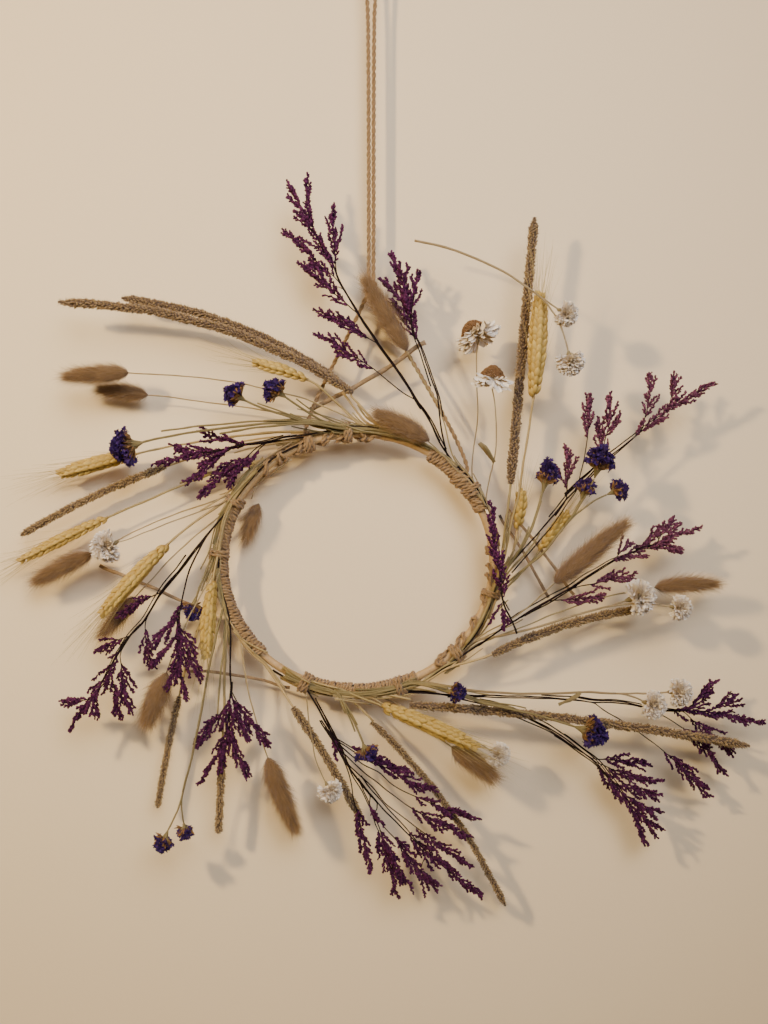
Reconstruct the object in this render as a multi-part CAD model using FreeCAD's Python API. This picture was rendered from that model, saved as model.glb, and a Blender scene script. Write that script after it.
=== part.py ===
import FreeCAD, Part
import math
import os
from FreeCAD import Matrix, Placement, Rotation, Vector

# A dried-flower wreath that hangs from a knotted loop of jute twine.
# Units are millimetres. The origin is where the loop bears on its nail, +Z is up,
# +X is to the right and the viewer stands at -Y. Flowers are laid out in the hoop's own
# frame: x and z from the hoop's centre, and y from the hoop's plane, negative to the front.

# ---- driving dimensions -------------------------------------------------------------------
HOOP_WIDTH = 206.0          # cane centreline, side to side
HOOP_HEIGHT = 194.0         # cane centreline, top to bottom
CANE_RADIUS = 3.0
HOOP_CENTRE = Vector(-10.5, -8.0, -448.0)
TWINE = 3.0                 # twine diameter
KNOT_CENTRE = Vector(0.0, 0.0, -236.0)
KNOT_RADIUS = 5.2
WRAP_RADIUS = 5.5           # outside of the twine wound on the cane
BAND_COUNT = 9              # single turns on each bare stretch of cane
BAND_DEGREES = 3.0
WRAP_GAP = 0.05             # between the cane and its winding
TIE_BORE = 13.0             # inner radius of the turns that hold a bunch
TIE_WALL = 1.6
TIE_OUTWARD = 3.0           # a tie's centre is this far outside the cane,
TIE_FORWARD = 6.5           # and this far in front of it
TIE_DEGREES = 4.5
HITCH_LEFT = 111.0          # where the two bridle legs meet the hoop, degrees from +X
HITCH_RIGHT = 41.0
HITCH_RADIUS = 7.0
HITCH_DEGREES = 5.0

# angles round the hoop, counterclockwise from +X
WOUND = ((150.0, 226.0), (250.0, 296.0), (24.0, 58.0))      # closely wound with twine
BANDED = ((84.0, 140.0), (-54.0, 14.0))                     # bare cane with spaced turns
TIED = (94.0, 34.0, -14.0, -44.0, -72.0, -112.0, 176.0, 152.0)

# routes of the taut twines: the loop is two strands that rise from the knot, open out and
# pass over the nail, and each leg leaves the knot and runs straight to its hitch
LOOP_ROUTE = (
    (-1.8, 0.0, -230.5), (-1.8, 0.0, -42.0), (-3.5, 0.0, -13.0), (-3.5, 0.0, 1.5),
    (3.5, 0.0, 1.5), (3.5, 0.0, -13.0), (1.8, 0.0, -42.0), (1.8, 0.0, -230.5),
)
LEFT_LEG = ((-1.8, -0.3, -241.2), (-5.0, -0.7, -250.3), (-49.8, -7.6, -340.6), (-50.0, -8.0, -350.6))
RIGHT_LEG = ((1.8, -0.3, -241.2), (5.0, -0.7, -250.3), (74.6, -7.7, -369.8), (72.7, -8.0, -379.6))

SECTION_STEP = 16.0         # spacing of the sections along a stem
NOMINAL_RADIUS = 100.0      # the round hoop that is stretched to the real oval
ARC_SHARE = 0.45            # part of a cord's run that an arc at its end may use
TWIG_BOW = 0.12             # how far a twig's middle stands off its chord
LEAST_BOW = 0.05            # bow of a twig that leaves straight along its chord, in mm
BARE_TWIG = 0.3             # least part of a twig that is left without a head

os.makedirs("parts", exist_ok=True)


# ---- shared helpers -----------------------------------------------------------------------
def save(name, solids):
    """Write one node: a single solid, or a group of separate ones."""
    shape = solids[0] if len(solids) == 1 else Part.makeCompound(solids)
    for solid in solids:
        if not solid.isValid() or solid.Volume <= 0:
            print("BAD SOLID in", name)
    shape.exportStep("parts/%s.step" % name)
    print("%-32s %2d solid(s) %9.1f mm3" % (name, len(shape.Solids), shape.Volume))


def on_wreath(point):
    """Turn hoop-frame (x, z, y) into a point of the part's own frame."""
    x, z, y = point
    return HOOP_CENTRE + Vector(x, y, z)


def arc_through(foot, via, tip):
    """A circular arc through three hoop-frame points; via has no depth of its own."""
    middle = (via[0], via[1], (foot[2] + tip[2]) / 2.0)
    return Part.Arc(on_wreath(foot), on_wreath(middle), on_wreath(tip)).toShape()


def section(edge, distance, radius):
    """A circle square to an edge, at a distance from its start."""
    parameter = edge.getParameterByLength(min(distance, edge.Length))
    turn = Rotation(Vector(0, 1, 0), Vector(0, 0, 0), edge.tangentAt(parameter), "ZXY")
    circle = Part.makeCircle(radius)
    circle.Placement = Placement(edge.valueAt(parameter), turn)
    return Part.Wire([circle])


def lathe_along(edge, stations):
    """A solid of round sections along an edge, from (distance, radius) stations."""
    wires = [section(edge, distance, radius) for distance, radius in stations]
    return Part.makeLoft(wires, True, True)


def even_stations(start, end, first_radius, last_radius):
    """Stations from start up to, but not at, end."""
    count = max(1, round((end - start) / SECTION_STEP))
    pitch = (end - start) / count
    taper = (last_radius - first_radius) / count
    return [(start + pitch * i, first_radius + taper * i) for i in range(count)]


# ---- outlines of the heads: (fraction of the head's length, fraction of its radius) -------
BUNNY_TAIL = [(0.04, 0.45), (0.16, 0.85), (0.40, 1.00), (0.66, 0.86), (0.88, 0.50), (1.0, 0.14)]
GRAIN_EAR = [(0.05, 0.50), (0.20, 0.90), (0.50, 1.00), (0.80, 0.75), (1.0, 0.25)]
GRASS_SPIKE = [(0.04, 0.70), (0.20, 1.00), (0.45, 1.00), (0.70, 0.95), (0.92, 0.75), (1.0, 0.25)]
STATICE_HEAD = [(0.10, 0.25), (0.55, 0.70), (0.88, 1.00), (1.0, 0.85)]
PAPER_FLOWER = [(0.10, 0.25), (0.45, 0.75), (0.75, 1.00), (1.0, 0.60)]
SPRAY = [(0.15, 0.55), (0.45, 1.00), (0.75, 0.80), (1.0, 0.20)]


def headed(edge, neck, first_radius, last_radius, head_radius, outline):
    """A tapering stem up to its neck, then a head along the rest of the edge."""
    head = edge.Length - neck
    stations = even_stations(0.0, neck, first_radius, last_radius)
    stations.append((neck, last_radius))
    stations += [(neck + head * along, head_radius * wide) for along, wide in outline]
    return lathe_along(edge, stations)


def flower(foot, via, tip, stem_radius, head_length, head_radius, outline):
    """One stem with its head, as a single solid."""
    edge = arc_through(foot, via, tip)
    neck = max(edge.Length - head_length, SECTION_STEP / 2.0)
    return headed(edge, neck, stem_radius, stem_radius, head_radius, outline)


def twig(trunk, leave, tip, head_length, head_radius, outline):
    """A twig that leaves the trunk along it and then bends away to its tip."""
    parameter = trunk.getParameterByLength(trunk.Length * leave)
    start = trunk.valueAt(parameter)
    end = on_wreath(tip)
    chord = end - start
    along = Vector(trunk.tangentAt(parameter))
    across = along - chord * (along.dot(chord) / chord.dot(chord))
    if across.Length < LEAST_BOW:
        across = Vector(0, LEAST_BOW, 0)
    middle = (start + end) * 0.5 + across * (TWIG_BOW * chord.Length)
    edge = Part.Arc(start, middle, end).toShape()
    neck = max(edge.Length - head_length, edge.Length * BARE_TWIG)
    return headed(edge, neck, TWIG_RADIUS, TWIG_RADIUS, head_radius, outline)


def joined(pieces):
    """One solid from pieces that run into each other."""
    solids = pieces[0].multiFuse(pieces[1:]).Solids
    if len(solids) != 1:
        print("NOT JOINED:", len(solids), "solids")
    return solids[0]


# ---- twine: straight runs joined by tangent arcs ------------------------------------------
def cord_path(points, name):
    """The centreline of a cord: each corner gets the largest arc its two runs allow."""
    edges = []
    last = points[0]
    for i in range(1, len(points) - 1):
        before = points[i - 1] - points[i]
        after = points[i + 1] - points[i]
        shorter = min(before.Length, after.Length)
        half_turn = (math.pi - before.getAngle(after)) / 2.0
        reach = ARC_SHARE * shorter
        radius = reach / math.tan(half_turn)
        before.normalize()
        after.normalize()
        start = points[i] + before * reach
        end = points[i] + after * reach
        inward = (before + after).normalize()
        sag = radius / math.cos(half_turn) - radius
        edges.append(Part.LineSegment(last, start).toShape())
        edges.append(Part.Arc(start, points[i] + inward * sag, end).toShape())
        print("%s bend %d: radius %.1f mm" % (name, i, radius))
        last = end
    edges.append(Part.LineSegment(last, points[-1]).toShape())
    return Part.Wire(edges)


def cord(route, name):
    """A plain tube of twine along its route."""
    points = [Vector(*point) for point in route]
    path = cord_path(points, name)
    first = path.Edges[0]
    direction = first.tangentAt(first.FirstParameter)
    circle = Part.makeCircle(TWINE / 2.0, points[0], direction)
    tube = path.makePipeShell([Part.Wire([circle])], True, False)
    expected = math.pi * (TWINE / 2.0) ** 2 * path.Length
    print("%s: length %.1f mm, volume %.1f of %.1f mm3" % (name, path.Length, tube.Volume, expected))
    return tube


# ---- hoop and its windings ----------------------------------------------------------------
def oval(shape):
    """Stretch a round hoop shape about the origin to the real oval, and place it."""
    stretch = Matrix()
    stretch.scale(HOOP_WIDTH / 2.0 / NOMINAL_RADIUS, 1.0, HOOP_HEIGHT / 2.0 / NOMINAL_RADIUS)
    shape = shape.transformGeometry(stretch)
    shape.translate(HOOP_CENTRE)
    return shape


def hoop_band(first, last, inner, outer, outward=0.0, forward=0.0):
    """A hollow sleeve round the cane, from one angle to another."""
    turn = math.radians(first)
    reach = NOMINAL_RADIUS + outward
    centre = Vector(reach * math.cos(turn), -forward, reach * math.sin(turn))
    along = Vector(-math.sin(turn), 0, math.cos(turn))
    rims = [Part.Wire([Part.makeCircle(radius, centre, along)]) for radius in (outer, inner)]
    washer = Part.Face(rims[0]).cut(Part.Face(rims[1])).Faces[0]
    sleeve = washer.revolve(Vector(0, 0, 0), Vector(0, -1, 0), last - first)
    return oval(sleeve)


def hoop():
    return oval(Part.makeTorus(NOMINAL_RADIUS, CANE_RADIUS, Vector(0, 0, 0), Vector(0, 1, 0)))


def winding(first, last):
    return hoop_band(first, last, CANE_RADIUS + WRAP_GAP, WRAP_RADIUS)


def spaced_bands(first, last):
    """Turns of twine spread evenly along bare cane."""
    pitch = (last - first) / (BAND_COUNT - 1)
    return [winding(first + pitch * i, first + pitch * i + BAND_DEGREES) for i in range(BAND_COUNT)]


def bunch_tie(degrees):
    start = degrees - TIE_DEGREES / 2.0
    return hoop_band(start, start + TIE_DEGREES, TIE_BORE, TIE_BORE + TIE_WALL,
                     TIE_OUTWARD, TIE_FORWARD)


def hitch(degrees):
    """The turns that end a bridle leg, round the winding on the cane."""
    start = degrees - HITCH_DEGREES / 2.0
    return hoop_band(start, start + HITCH_DEGREES, WRAP_RADIUS + WRAP_GAP, HITCH_RADIUS)


# ---- flowers ------------------------------------------------------------------------------
# node: one row for each stem, of foot (x, z, y), via (x, z), tip (x, z, y), head length
# and head radius. Two stems of a kind that were tied in side by side share a node.
BUNNY_TAILS = {
    "bunny_tails_top_left": [
        ((11, 104, -9), (-103, 137), (-217, 139, -12), 46, 8.0),
        ((2, 104, 8), (-95, 119), (-196, 132, 8), 36, 7.0),
    ],
    "bunny_tail_knot": [((84, 80, -12), (52, 133), (7, 211, -8), 60, 8.5)],
    "bunny_tail_hoop_top": [((85, 69, -18), (55, 91), (16, 111, -16), 42, 8.5)],
    "bunny_tails_left": [
        ((-97, 54, 4), (-160, 27), (-243, -14, 0), 46, 8.0),
        ((-103, 41, 7), (-144, 0), (-192, -54, 2), 36, 7.0),
    ],
    "bunny_tail_hoop_inside": [((-73, 52, 9), (-77, 42), (-86, 20, 11), 26, 6.5)],
    "bunny_tail_lower_left": [((-106, 1, -18), (-127, -45), (-158, -120, -12), 40, 10.0)],
    "bunny_tails_bottom": [
        ((-91, -57, -9), (-80, -103), (-47, -199, -10), 56, 9.0),
        ((10, -105, -8), (51, -125), (103, -160, -12), 38, 9.5),
    ],
    "bunny_tails_right": [
        ((92, -66, -14), (122, -37), (197, 28, -24), 66, 9.0),
        ((91, -70, -4), (160, -34), (268, -16, -8), 44, 7.0),
    ],
}
GRAIN_EARS = {
    "grain_ear_top_left": [((8, 114, -13), (-30, 134), (-76, 149, -20), 44, 5.0)],
    "grain_ears_left": [
        ((-20, 102, 9), (-125, 91), (-226, 67, 4), 62, 6.5),
        ((-71, 82, 9), (-163, 46), (-256, 1, 4), 76, 5.0),
    ],
    "grain_ear_left_lower": [((-98, 52, -4), (-143, 13), (-190, -38, -14), 72, 7.0)],
    "grain_ear_hoop_left": [((-101, 31, -9), (-109, -21), (-113, -70, -12), 60, 6.0)],
    "grain_ear_bottom": [((-9, -96, -20), (43, -115), (88, -135, -26), 78, 7.0)],
    "grain_ear_right_tall": [((101, -28, -9), (126, 84), (135, 198, -26), 78, 8.0)],
    "grain_ears_right_rear": [
        ((107, -34, 8), (119, 9), (125, 54, 2), 30, 5.0),
        ((109, -37, 10), (132, -1), (160, 37, 4), 38, 5.0),
    ],
}
GRASS_SPIKES = {
    "grass_spikes_top_left": [
        ((21, 109, -9), (-95, 174), (-223, 194, -14), 240, 3.4),
        ((11, 116, -1), (-88, 178), (-178, 199, -2), 190, 3.2),
    ],
    "grass_spike_right_tall": [((111, 1, -2), (124, 157), (133, 259, -10), 205, 3.6)],
    "grass_spike_right": [((62, -92, -13), (146, -50), (223, -34, -2), 130, 3.3)],
    "grass_spike_bottom_right": [((19, -105, -14), (152, -115), (292, -136, -18), 262, 3.4)],
    "grass_spikes_bottom": [
        ((-71, -78, -9), (-29, -137), (3, -193, -5), 100, 3.2),
        ((-6, -106, -2), (65, -180), (112, -261, 2), 190, 2.6),
    ],
    "grass_spike_left_slim": [((-43, 98, 8), (-181, 59), (-256, 20, 4), 125, 3.0)],
    "grass_spikes_lower_left": [
        ((-113, -21, 6), (-134, -96), (-152, -187, 4), 92, 2.6),
        ((-100, -40, -8), (-101, -126), (-105, -205, -2), 60, 3.0),
    ],
}
STATICE = {
    "statice_upper_left": [((6, 106, -16), (-95, 101), (-187, 83, -22), 32, 15.0)],
    "statice_top_left": [
        ((-13, 110, -22), (-50, 110), (-98, 128, -26), 20, 10.0),
        ((-5, 112, -26), (-40, 116), (-68, 134, -26), 20, 11.0),
    ],
    "statice_left": [((-111, 13, -6), (-119, -15), (-125, -45, -6), 22, 8.5)],
    "statice_bottom": [
        ((-14, -100, -14), (-2, -120), (11, -146, -22), 16, 9.5),
        ((40, -93, -24), (56, -92), (80, -94, -32), 16, 8.0),
    ],
    "statice_bottom_right": [((46, -96, -20), (120, -108), (186, -128, -34), 28, 13.0)],
    "statice_right": [((111, -21, -17), (132, 31), (145, 79, -14), 32, 9.0)],
}
PAPER_FLOWERS = {
    "paper_flowers_upper": [
        ((98, 69, -8), (90, 125), (91, 183, -12), 15, 15.0),
        ((100, 46, -12), (104, 99), (97, 147, -26), 14, 13.0),
    ],
    "paper_flower_left": [((-100, 50, -8), (-150, 26), (-196, 9, -14), 14, 10.0)],
    "paper_flowers_bottom": [
        ((-43, -104, -12), (-33, -141), (-17, -176, -18), 12, 8.0),
        ((14, -104, 7), (62, -122), (113, -146, -16), 14, 8.0),
    ],
}
KINDS = (
    (BUNNY_TAILS, BUNNY_TAIL, 0.9),
    (GRAIN_EARS, GRAIN_EAR, 1.1),
    (GRASS_SPIKES, GRASS_SPIKE, 1.1),
    (STATICE, STATICE_HEAD, 1.1),
    (PAPER_FLOWERS, PAPER_FLOWER, 0.8),
)

# node: trunk (foot, via, tip), trunk radius, and twigs as (leaves the trunk at this
# fraction of it, tip (x, z, y)). The trunk and every twig end in a spray of buds.
SEA_LAVENDER = {
    "sea_lavender_top": (((75, 84, -9), (6, 182), (-50, 280, -12)), 1.0, [
        (0.78, (-38, 287, -10)), (0.72, (-41, 259, -14)), (0.66, (-17, 266, -12)),
        (0.55, (-52, 246, -10)), (0.48, (-41, 223, -14)), (0.40, (-26, 204, -10)),
        (0.36, (-28, 188, -13)), (0.12, (-28, 170, -12)),
    ]),
    "sea_lavender_knot": (((75, 85, -17), (49, 157), (26, 233, -2)), 0.9, [
        (0.70, (37, 219, -8)), (0.62, (45, 214, -8)), (0.66, (21, 212, 3)), (0.52, (24, 194, 2)),
    ]),
    "sea_lavender_upper_right": (((108, -17, -14), (165, 56), (265, 133, -14)), 1.1, [
        (0.80, (237, 137, -12)), (0.70, (217, 137, -16)), (0.52, (189, 123, -12)),
        (0.40, (172, 122, -14)), (0.50, (180, 106, -10)), (0.34, (157, 84, -12)),
    ]),
    "sea_lavender_right": (((60, -88, -9), (146, -25), (256, 26, -12)), 1.1, [
        (0.84, (236, 31, -8)), (0.78, (241, 10, -12)), (0.72, (226, 28, -10)),
        (0.60, (202, 14, -8)), (0.42, (203, -10, -12)), (0.36, (181, -25, -14)),
    ]),
    "sea_lavender_hoop_right": (((100, 43, -23), (104, 0), (119, -54, -27)), 0.8, [
        (0.45, (107, -42, -26)),
    ]),
    "sea_lavender_upper_left": (((-20, 104, -9), (-84, 88), (-149, 75, -12)), 1.0, [
        (0.60, (-133, 86, -10)), (0.45, (-114, 97, -12)), (0.50, (-125, 63, -12)),
        (0.35, (-116, 50, -10)), (0.28, (-95, 60, -9)),
    ]),
    "sea_lavender_left": (((-94, 46, -12), (-143, -20), (-214, -124, -14)), 1.1, [
        (0.86, (-217, -104, -12)), (0.80, (-193, -111, -16)), (0.72, (-177, -113, -12)),
        (0.66, (-169, -108, -16)), (0.55, (-192, -63, -12)), (0.62, (-187, -75, -16)),
        (0.50, (-154, -74, -12)), (0.34, (-175, -38, -14)),
    ]),
    "sea_lavender_left_inner": (((-95, 45, -16), (-130, -28), (-126, -99, -22)), 1.0, [
        (0.55, (-149, -58, -22)), (0.66, (-148, -74, -24)), (0.62, (-120, -64, -20)),
        (0.70, (-116, -82, -24)), (0.76, (-138, -88, -22)),
    ]),
    "sea_lavender_lower_left": (((-98, -40, -13), (-95, -96), (-101, -152, -14)), 0.9, [
        (0.40, (-66, -136, -14)), (0.45, (-83, -130, -16)), (0.66, (-83, -158, -12)),
        (0.50, (-121, -137, -11)), (0.66, (-116, -163, -12)),
    ]),
    "sea_lavender_bottom": (((-40, -97, -10), (0, -166), (29, -245, -13)), 1.1, [
        (0.22, (10, -229, -14)), (0.50, (19, -203, -10)), (0.45, (40, -241, -16)),
        (0.42, (57, -242, -12)), (0.38, (91, -247, -14)), (0.34, (83, -224, -16)),
        (0.30, (82, -204, -12)), (0.26, (87, -190, -14)), (0.22, (55, -168, -12)),
        (0.18, (38, -156, -8)),
    ]),
    "sea_lavender_bottom_right": (((38, -104, -6), (150, -128), (217, -210, -6)), 1.1, [
        (0.62, (216, -151, -4)), (0.66, (224, -164, -8)), (0.74, (224, -175, -4)),
        (0.80, (227, -187, -8)), (0.84, (226, -199, -5)),
    ]),
    "sea_lavender_far_right": (((26, -100, -9), (182, -104), (305, -120, -6)), 1.1, [
        (0.78, (267, -91, -5)), (0.82, (282, -102, -9)), (0.74, (280, -141, -4)),
        (0.70, (277, -159, -2)), (0.62, (257, -131, -3)), (0.50, (264, -176, 0)),
    ]),
}
SPRAY_LENGTH = 24.0
SPRAY_RADIUS = 3.0
TWIG_RADIUS = 0.55

# node: outline of the heads, trunk, trunk radius, and twigs as above, each with the
# length and radius of its head
CLUSTERS = {
    "statice_cluster_right": (STATICE_HEAD, ((107, -28, -20), (136, 6), (164, 40, -24)), 1.0, [
        (0.90, (182, 86, -32), 24, 12.0), (0.80, (172, 62, -22), 16, 8.0),
        (0.86, (200, 57, -24), 16, 8.0),
    ]),
    "statice_cluster_left": (STATICE_HEAD, ((-104, -28, -20), (-114, -105), (-132, -178, -18)), 1.0, [
        (0.88, (-146, -213, -22), 18, 8.0), (0.90, (-127, -205, -15), 18, 6.0),
    ]),
    "paper_flowers_right": (PAPER_FLOWER, ((92, -67, -20), (150, -42), (196, -30, -22)), 0.7, [
        (0.70, (215, -23, -23), 14, 11.0), (0.85, (243, -33, -26), 12, 8.0),
    ]),
    "paper_flowers_lower_right": (PAPER_FLOWER, ((48, -92, -13), (135, -97), (202, -94, -20)), 0.7, [
        (0.80, (224, -106, -24), 12, 9.0), (0.85, (243, -95, -26), 12, 9.0),
    ]),
    "paper_flowers_loose": (PAPER_FLOWER, ((43, 240, -16), (95, 222), (142, 188, -36)), 0.8, [
        (0.90, (157, 180, -36), 10, 8.0), (0.92, (157, 142, -36), 12, 9.0),
    ]),
}

# foot, via, tip, radius
CUT_STALKS = [
    ((-36, 116, 7), (8, 138), (51, 167, -3), 1.8),
    ((-112, -42, 13), (-154, -21), (-198, -4, 13), 1.3),
    ((108, 35, 14), (129, 4), (146, -28, 14), 1.2),
    ((115, 39, 14), (142, 8), (165, -26, 14), 1.2),
    ((-132, -84, 11), (-90, -87), (-52, -97, 8), 1.2),
]
# base, via, tip, half width
LEAVES = [
    ((92, 90, -14), (98, 82), (102, 72, -14), 3.0),
    ((146, -102, -30), (156, -101), (165, -96, -30), 3.0),
]
LEAF_OUTLINE = [(0.0, 0.15), (0.3, 0.8), (0.55, 1.0), (0.8, 0.6), (1.0, 0.1)]


def sea_lavender(trunk_points, radius, tips):
    """A branching stem with a spray of buds at the end of the trunk and of every twig."""
    trunk = arc_through(*trunk_points)
    neck = trunk.Length - SPRAY_LENGTH
    pieces = [headed(trunk, neck, radius, TWIG_RADIUS, SPRAY_RADIUS, SPRAY)]
    pieces += [twig(trunk, leave, tip, SPRAY_LENGTH, SPRAY_RADIUS, SPRAY) for leave, tip in tips]
    return joined(pieces)


def cluster(outline, trunk_points, radius, heads):
    """A branching stem with a flower head on every twig."""
    trunk = arc_through(*trunk_points)
    stations = even_stations(0.0, trunk.Length, radius, TWIG_RADIUS)
    pieces = [lathe_along(trunk, stations + [(trunk.Length, TWIG_RADIUS)])]
    pieces += [twig(trunk, leave, tip, length, wide, outline) for leave, tip, length, wide in heads]
    return joined(pieces)


def stalk(foot, via, tip, radius):
    edge = arc_through(foot, via, tip)
    stations = even_stations(0.0, edge.Length, radius, radius)
    return lathe_along(edge, stations + [(edge.Length, radius)])


def leaf(base, via, tip, half_width):
    edge = arc_through(base, via, tip)
    return lathe_along(edge, [(edge.Length * along, half_width * wide) for along, wide in LEAF_OUTLINE])


# ---- build --------------------------------------------------------------------------------
save("hanging_loop", [cord(LOOP_ROUTE, "hanging_loop")])
save("hanging_knot", [Part.makeSphere(KNOT_RADIUS, KNOT_CENTRE)])
save("bridle_leg_left", [cord(LEFT_LEG, "bridle_leg_left")])
save("bridle_leg_right", [cord(RIGHT_LEG, "bridle_leg_right")])
save("bridle_hitches", [hitch(HITCH_LEFT), hitch(HITCH_RIGHT)])
save("hoop_cane", [hoop()])
save("hoop_windings", [winding(*span) for span in WOUND])
save("hoop_bands", [band for span in BANDED for band in spaced_bands(*span)])
save("bunch_ties", [bunch_tie(angle) for angle in TIED])

for nodes, outline, stem_radius in KINDS:
    for name, rows in nodes.items():
        save(name, [flower(foot, via, tip, stem_radius, length, radius, outline)
                    for foot, via, tip, length, radius in rows])
for name, row in SEA_LAVENDER.items():
    save(name, [sea_lavender(*row)])
for name, row in CLUSTERS.items():
    save(name, [cluster(*row)])
save("cut_stalks", [stalk(*row) for row in CUT_STALKS])
save("dry_leaves", [leaf(*row) for row in LEAVES])
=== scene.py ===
import heapq
import math

import bpy
import numpy as np
from mathutils import Matrix, Vector


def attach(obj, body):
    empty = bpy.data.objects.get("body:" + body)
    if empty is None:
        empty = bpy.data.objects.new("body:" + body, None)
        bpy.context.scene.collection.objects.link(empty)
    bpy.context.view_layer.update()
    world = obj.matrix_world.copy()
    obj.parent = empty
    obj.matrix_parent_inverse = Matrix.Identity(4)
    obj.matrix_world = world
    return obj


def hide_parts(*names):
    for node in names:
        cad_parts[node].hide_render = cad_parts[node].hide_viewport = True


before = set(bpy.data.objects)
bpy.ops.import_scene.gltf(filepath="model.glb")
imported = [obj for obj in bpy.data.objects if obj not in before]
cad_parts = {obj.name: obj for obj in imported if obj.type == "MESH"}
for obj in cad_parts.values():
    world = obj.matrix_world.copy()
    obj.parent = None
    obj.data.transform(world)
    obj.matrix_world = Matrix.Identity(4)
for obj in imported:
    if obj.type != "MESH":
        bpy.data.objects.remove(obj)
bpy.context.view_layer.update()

# ---- driving values, in metres ------------------------------------------------------------
HOOP_CENTRE = Vector((-0.0105, -0.008, -0.448))
HOOP_HALF_WIDTH = 0.103
HOOP_HALF_HEIGHT = 0.097
KNOT_CENTRE = Vector((0.0, 0.0, -0.236))
WALL_Y = 0.0160             # the wall that the wreath hangs in front of
FLOOR_Z = -1.6
CAMERA_AT = Vector((0.00975, -1.0, -0.41))
LENS = 46.1                 # this frames 0.576 by 0.768 m at the depth of the flowers

# routes of the taut twines, as in the part
LOOP_ROUTE = (
    (-0.0018, 0.0, -0.2305), (-0.0018, 0.0, -0.042), (-0.0035, 0.0, -0.013), (-0.0035, 0.0, 0.0015),
    (0.0035, 0.0, 0.0015), (0.0035, 0.0, -0.013), (0.0018, 0.0, -0.042), (0.0018, 0.0, -0.2305),
)
LEFT_LEG = (
    (-0.0018, -0.0003, -0.2412), (-0.005, -0.0007, -0.2503),
    (-0.0498, -0.0076, -0.3406), (-0.05, -0.008, -0.3506),
)
RIGHT_LEG = (
    (0.0018, -0.0003, -0.2412), (0.005, -0.0007, -0.2503),
    (0.0746, -0.0077, -0.3698), (0.0727, -0.008, -0.3796),
)
LOOP_LENGTH = 0.468
LEFT_LENGTH = 0.1205
RIGHT_LENGTH = 0.1577

FRONT = np.array([0.0, -1.0, 0.0])          # from the wall to the viewer

rng = np.random.default_rng(11)


# ---- small vector helpers -----------------------------------------------------------------
def unit(vectors):
    """Vectors of length one, with nothing divided by zero."""
    length = np.linalg.norm(vectors, axis=-1, keepdims=True)
    return vectors / np.maximum(length, 1e-12)


def lengths_along(path):
    """The distance from a path's start to each of its points."""
    steps = np.linalg.norm(np.diff(path, axis=0), axis=1)
    return np.concatenate([[0.0], np.cumsum(steps)])


def resample(path, step):
    """Even points along a path, its two ends kept."""
    along = lengths_along(path)
    count = max(2, int(round(along[-1] / step)) + 1)
    wanted = np.linspace(0.0, along[-1], count)
    return np.stack([np.interp(wanted, along, path[:, axis]) for axis in range(3)], axis=1)


def smoothed(path, rounds):
    """A path with its small kinks averaged out, its two ends kept."""
    path = path.copy()
    for _ in range(rounds):
        path[1:-1] = path[:-2] * 0.25 + path[1:-1] * 0.5 + path[2:] * 0.25
    return path


def point_at(path, along, distance):
    return np.stack([np.interp(distance, along, path[:, axis]) for axis in range(3)], axis=-1)


def frames(path):
    """Unit tangent, side and up at each point of a path, turned as little as possible."""
    tangent = unit(np.gradient(path, axis=0))
    side = np.zeros_like(path)
    start = np.cross(tangent[0], (0.0, 1.0, 0.0))
    if np.linalg.norm(start) < 0.1:
        start = np.cross(tangent[0], (1.0, 0.0, 0.0))
    side[0] = start / np.linalg.norm(start)
    for i in range(1, len(path)):
        turned = side[i - 1] - tangent[i] * side[i - 1].dot(tangent[i])
        side[i] = turned / np.linalg.norm(turned)
    return tangent, side, np.cross(tangent, side)


def square_to(axis, hint):
    """Two unit vectors square to an axis and to each other."""
    across = unit(np.cross(axis, hint))
    return across, np.cross(axis, across)


def in_circle(across, over, turn):
    """Unit vectors at many turns in the plane of two others."""
    return across * np.cos(turn)[:, None] + over * np.sin(turn)[:, None]


def sized(length, width, depth):
    """Rows of width, depth and length, the first two as shares of the length."""
    return np.stack([length * width, length * depth, length], axis=1)


# ---- gathering geometry -------------------------------------------------------------------
class Build:
    """The vertices and faces of one piece. Every vertex has three marks that its material
    reads: a random tint, how far along its own small part it lies, and which part it is."""

    def __init__(self):
        self.points = []
        self.marks = []
        self.quads = []
        self.triangles = []
        self.total = 0

    def add(self, points, marks, quads=(), triangles=()):
        self.points.append(points)
        self.marks.append(marks)
        if len(quads):
            self.quads.append(np.asarray(quads) + self.total)
        if len(triangles):
            self.triangles.append(np.asarray(triangles) + self.total)
        self.total += len(points)


def marks_of(count, tint, along, part):
    marks = np.empty((count, 3))
    marks[:, 0] = tint
    marks[:, 1] = along
    marks[:, 2] = part
    return marks


def tube(build, path, radii, sides, tint, part, closed=False):
    """A round tube along a path; a radius of nearly nothing ends it in a point."""
    path = np.asarray(path, float)
    count = len(path)
    radii = np.broadcast_to(radii, (count,))
    _, side, up = frames(path)
    turn = np.linspace(0.0, 2.0 * math.pi, sides, endpoint=False)
    ring = side[:, None, :] * np.cos(turn)[None, :, None] + up[:, None, :] * np.sin(turn)[None, :, None]
    points = (path[:, None, :] + ring * radii[:, None, None]).reshape(-1, 3)
    row = np.arange(count - 1)[:, None] * sides
    here = np.arange(sides)[None, :]
    following = (here + 1) % sides
    quads = np.stack([row + here, row + following, row + following + sides, row + here + sides], axis=-1)
    along = np.repeat(np.linspace(0.0, 1.0, count), sides)
    build.add(points, marks_of(len(points), tint, along, part), quads.reshape(-1, 4))
    if closed:
        last = (count - 1) * sides
        fan = [(0, i + 1, i) for i in range(1, sides - 1)]
        fan += [(last, last + i, last + i + 1) for i in range(1, sides - 1)]
        build.triangles.append(np.asarray(fan) + build.total - len(points))


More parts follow.
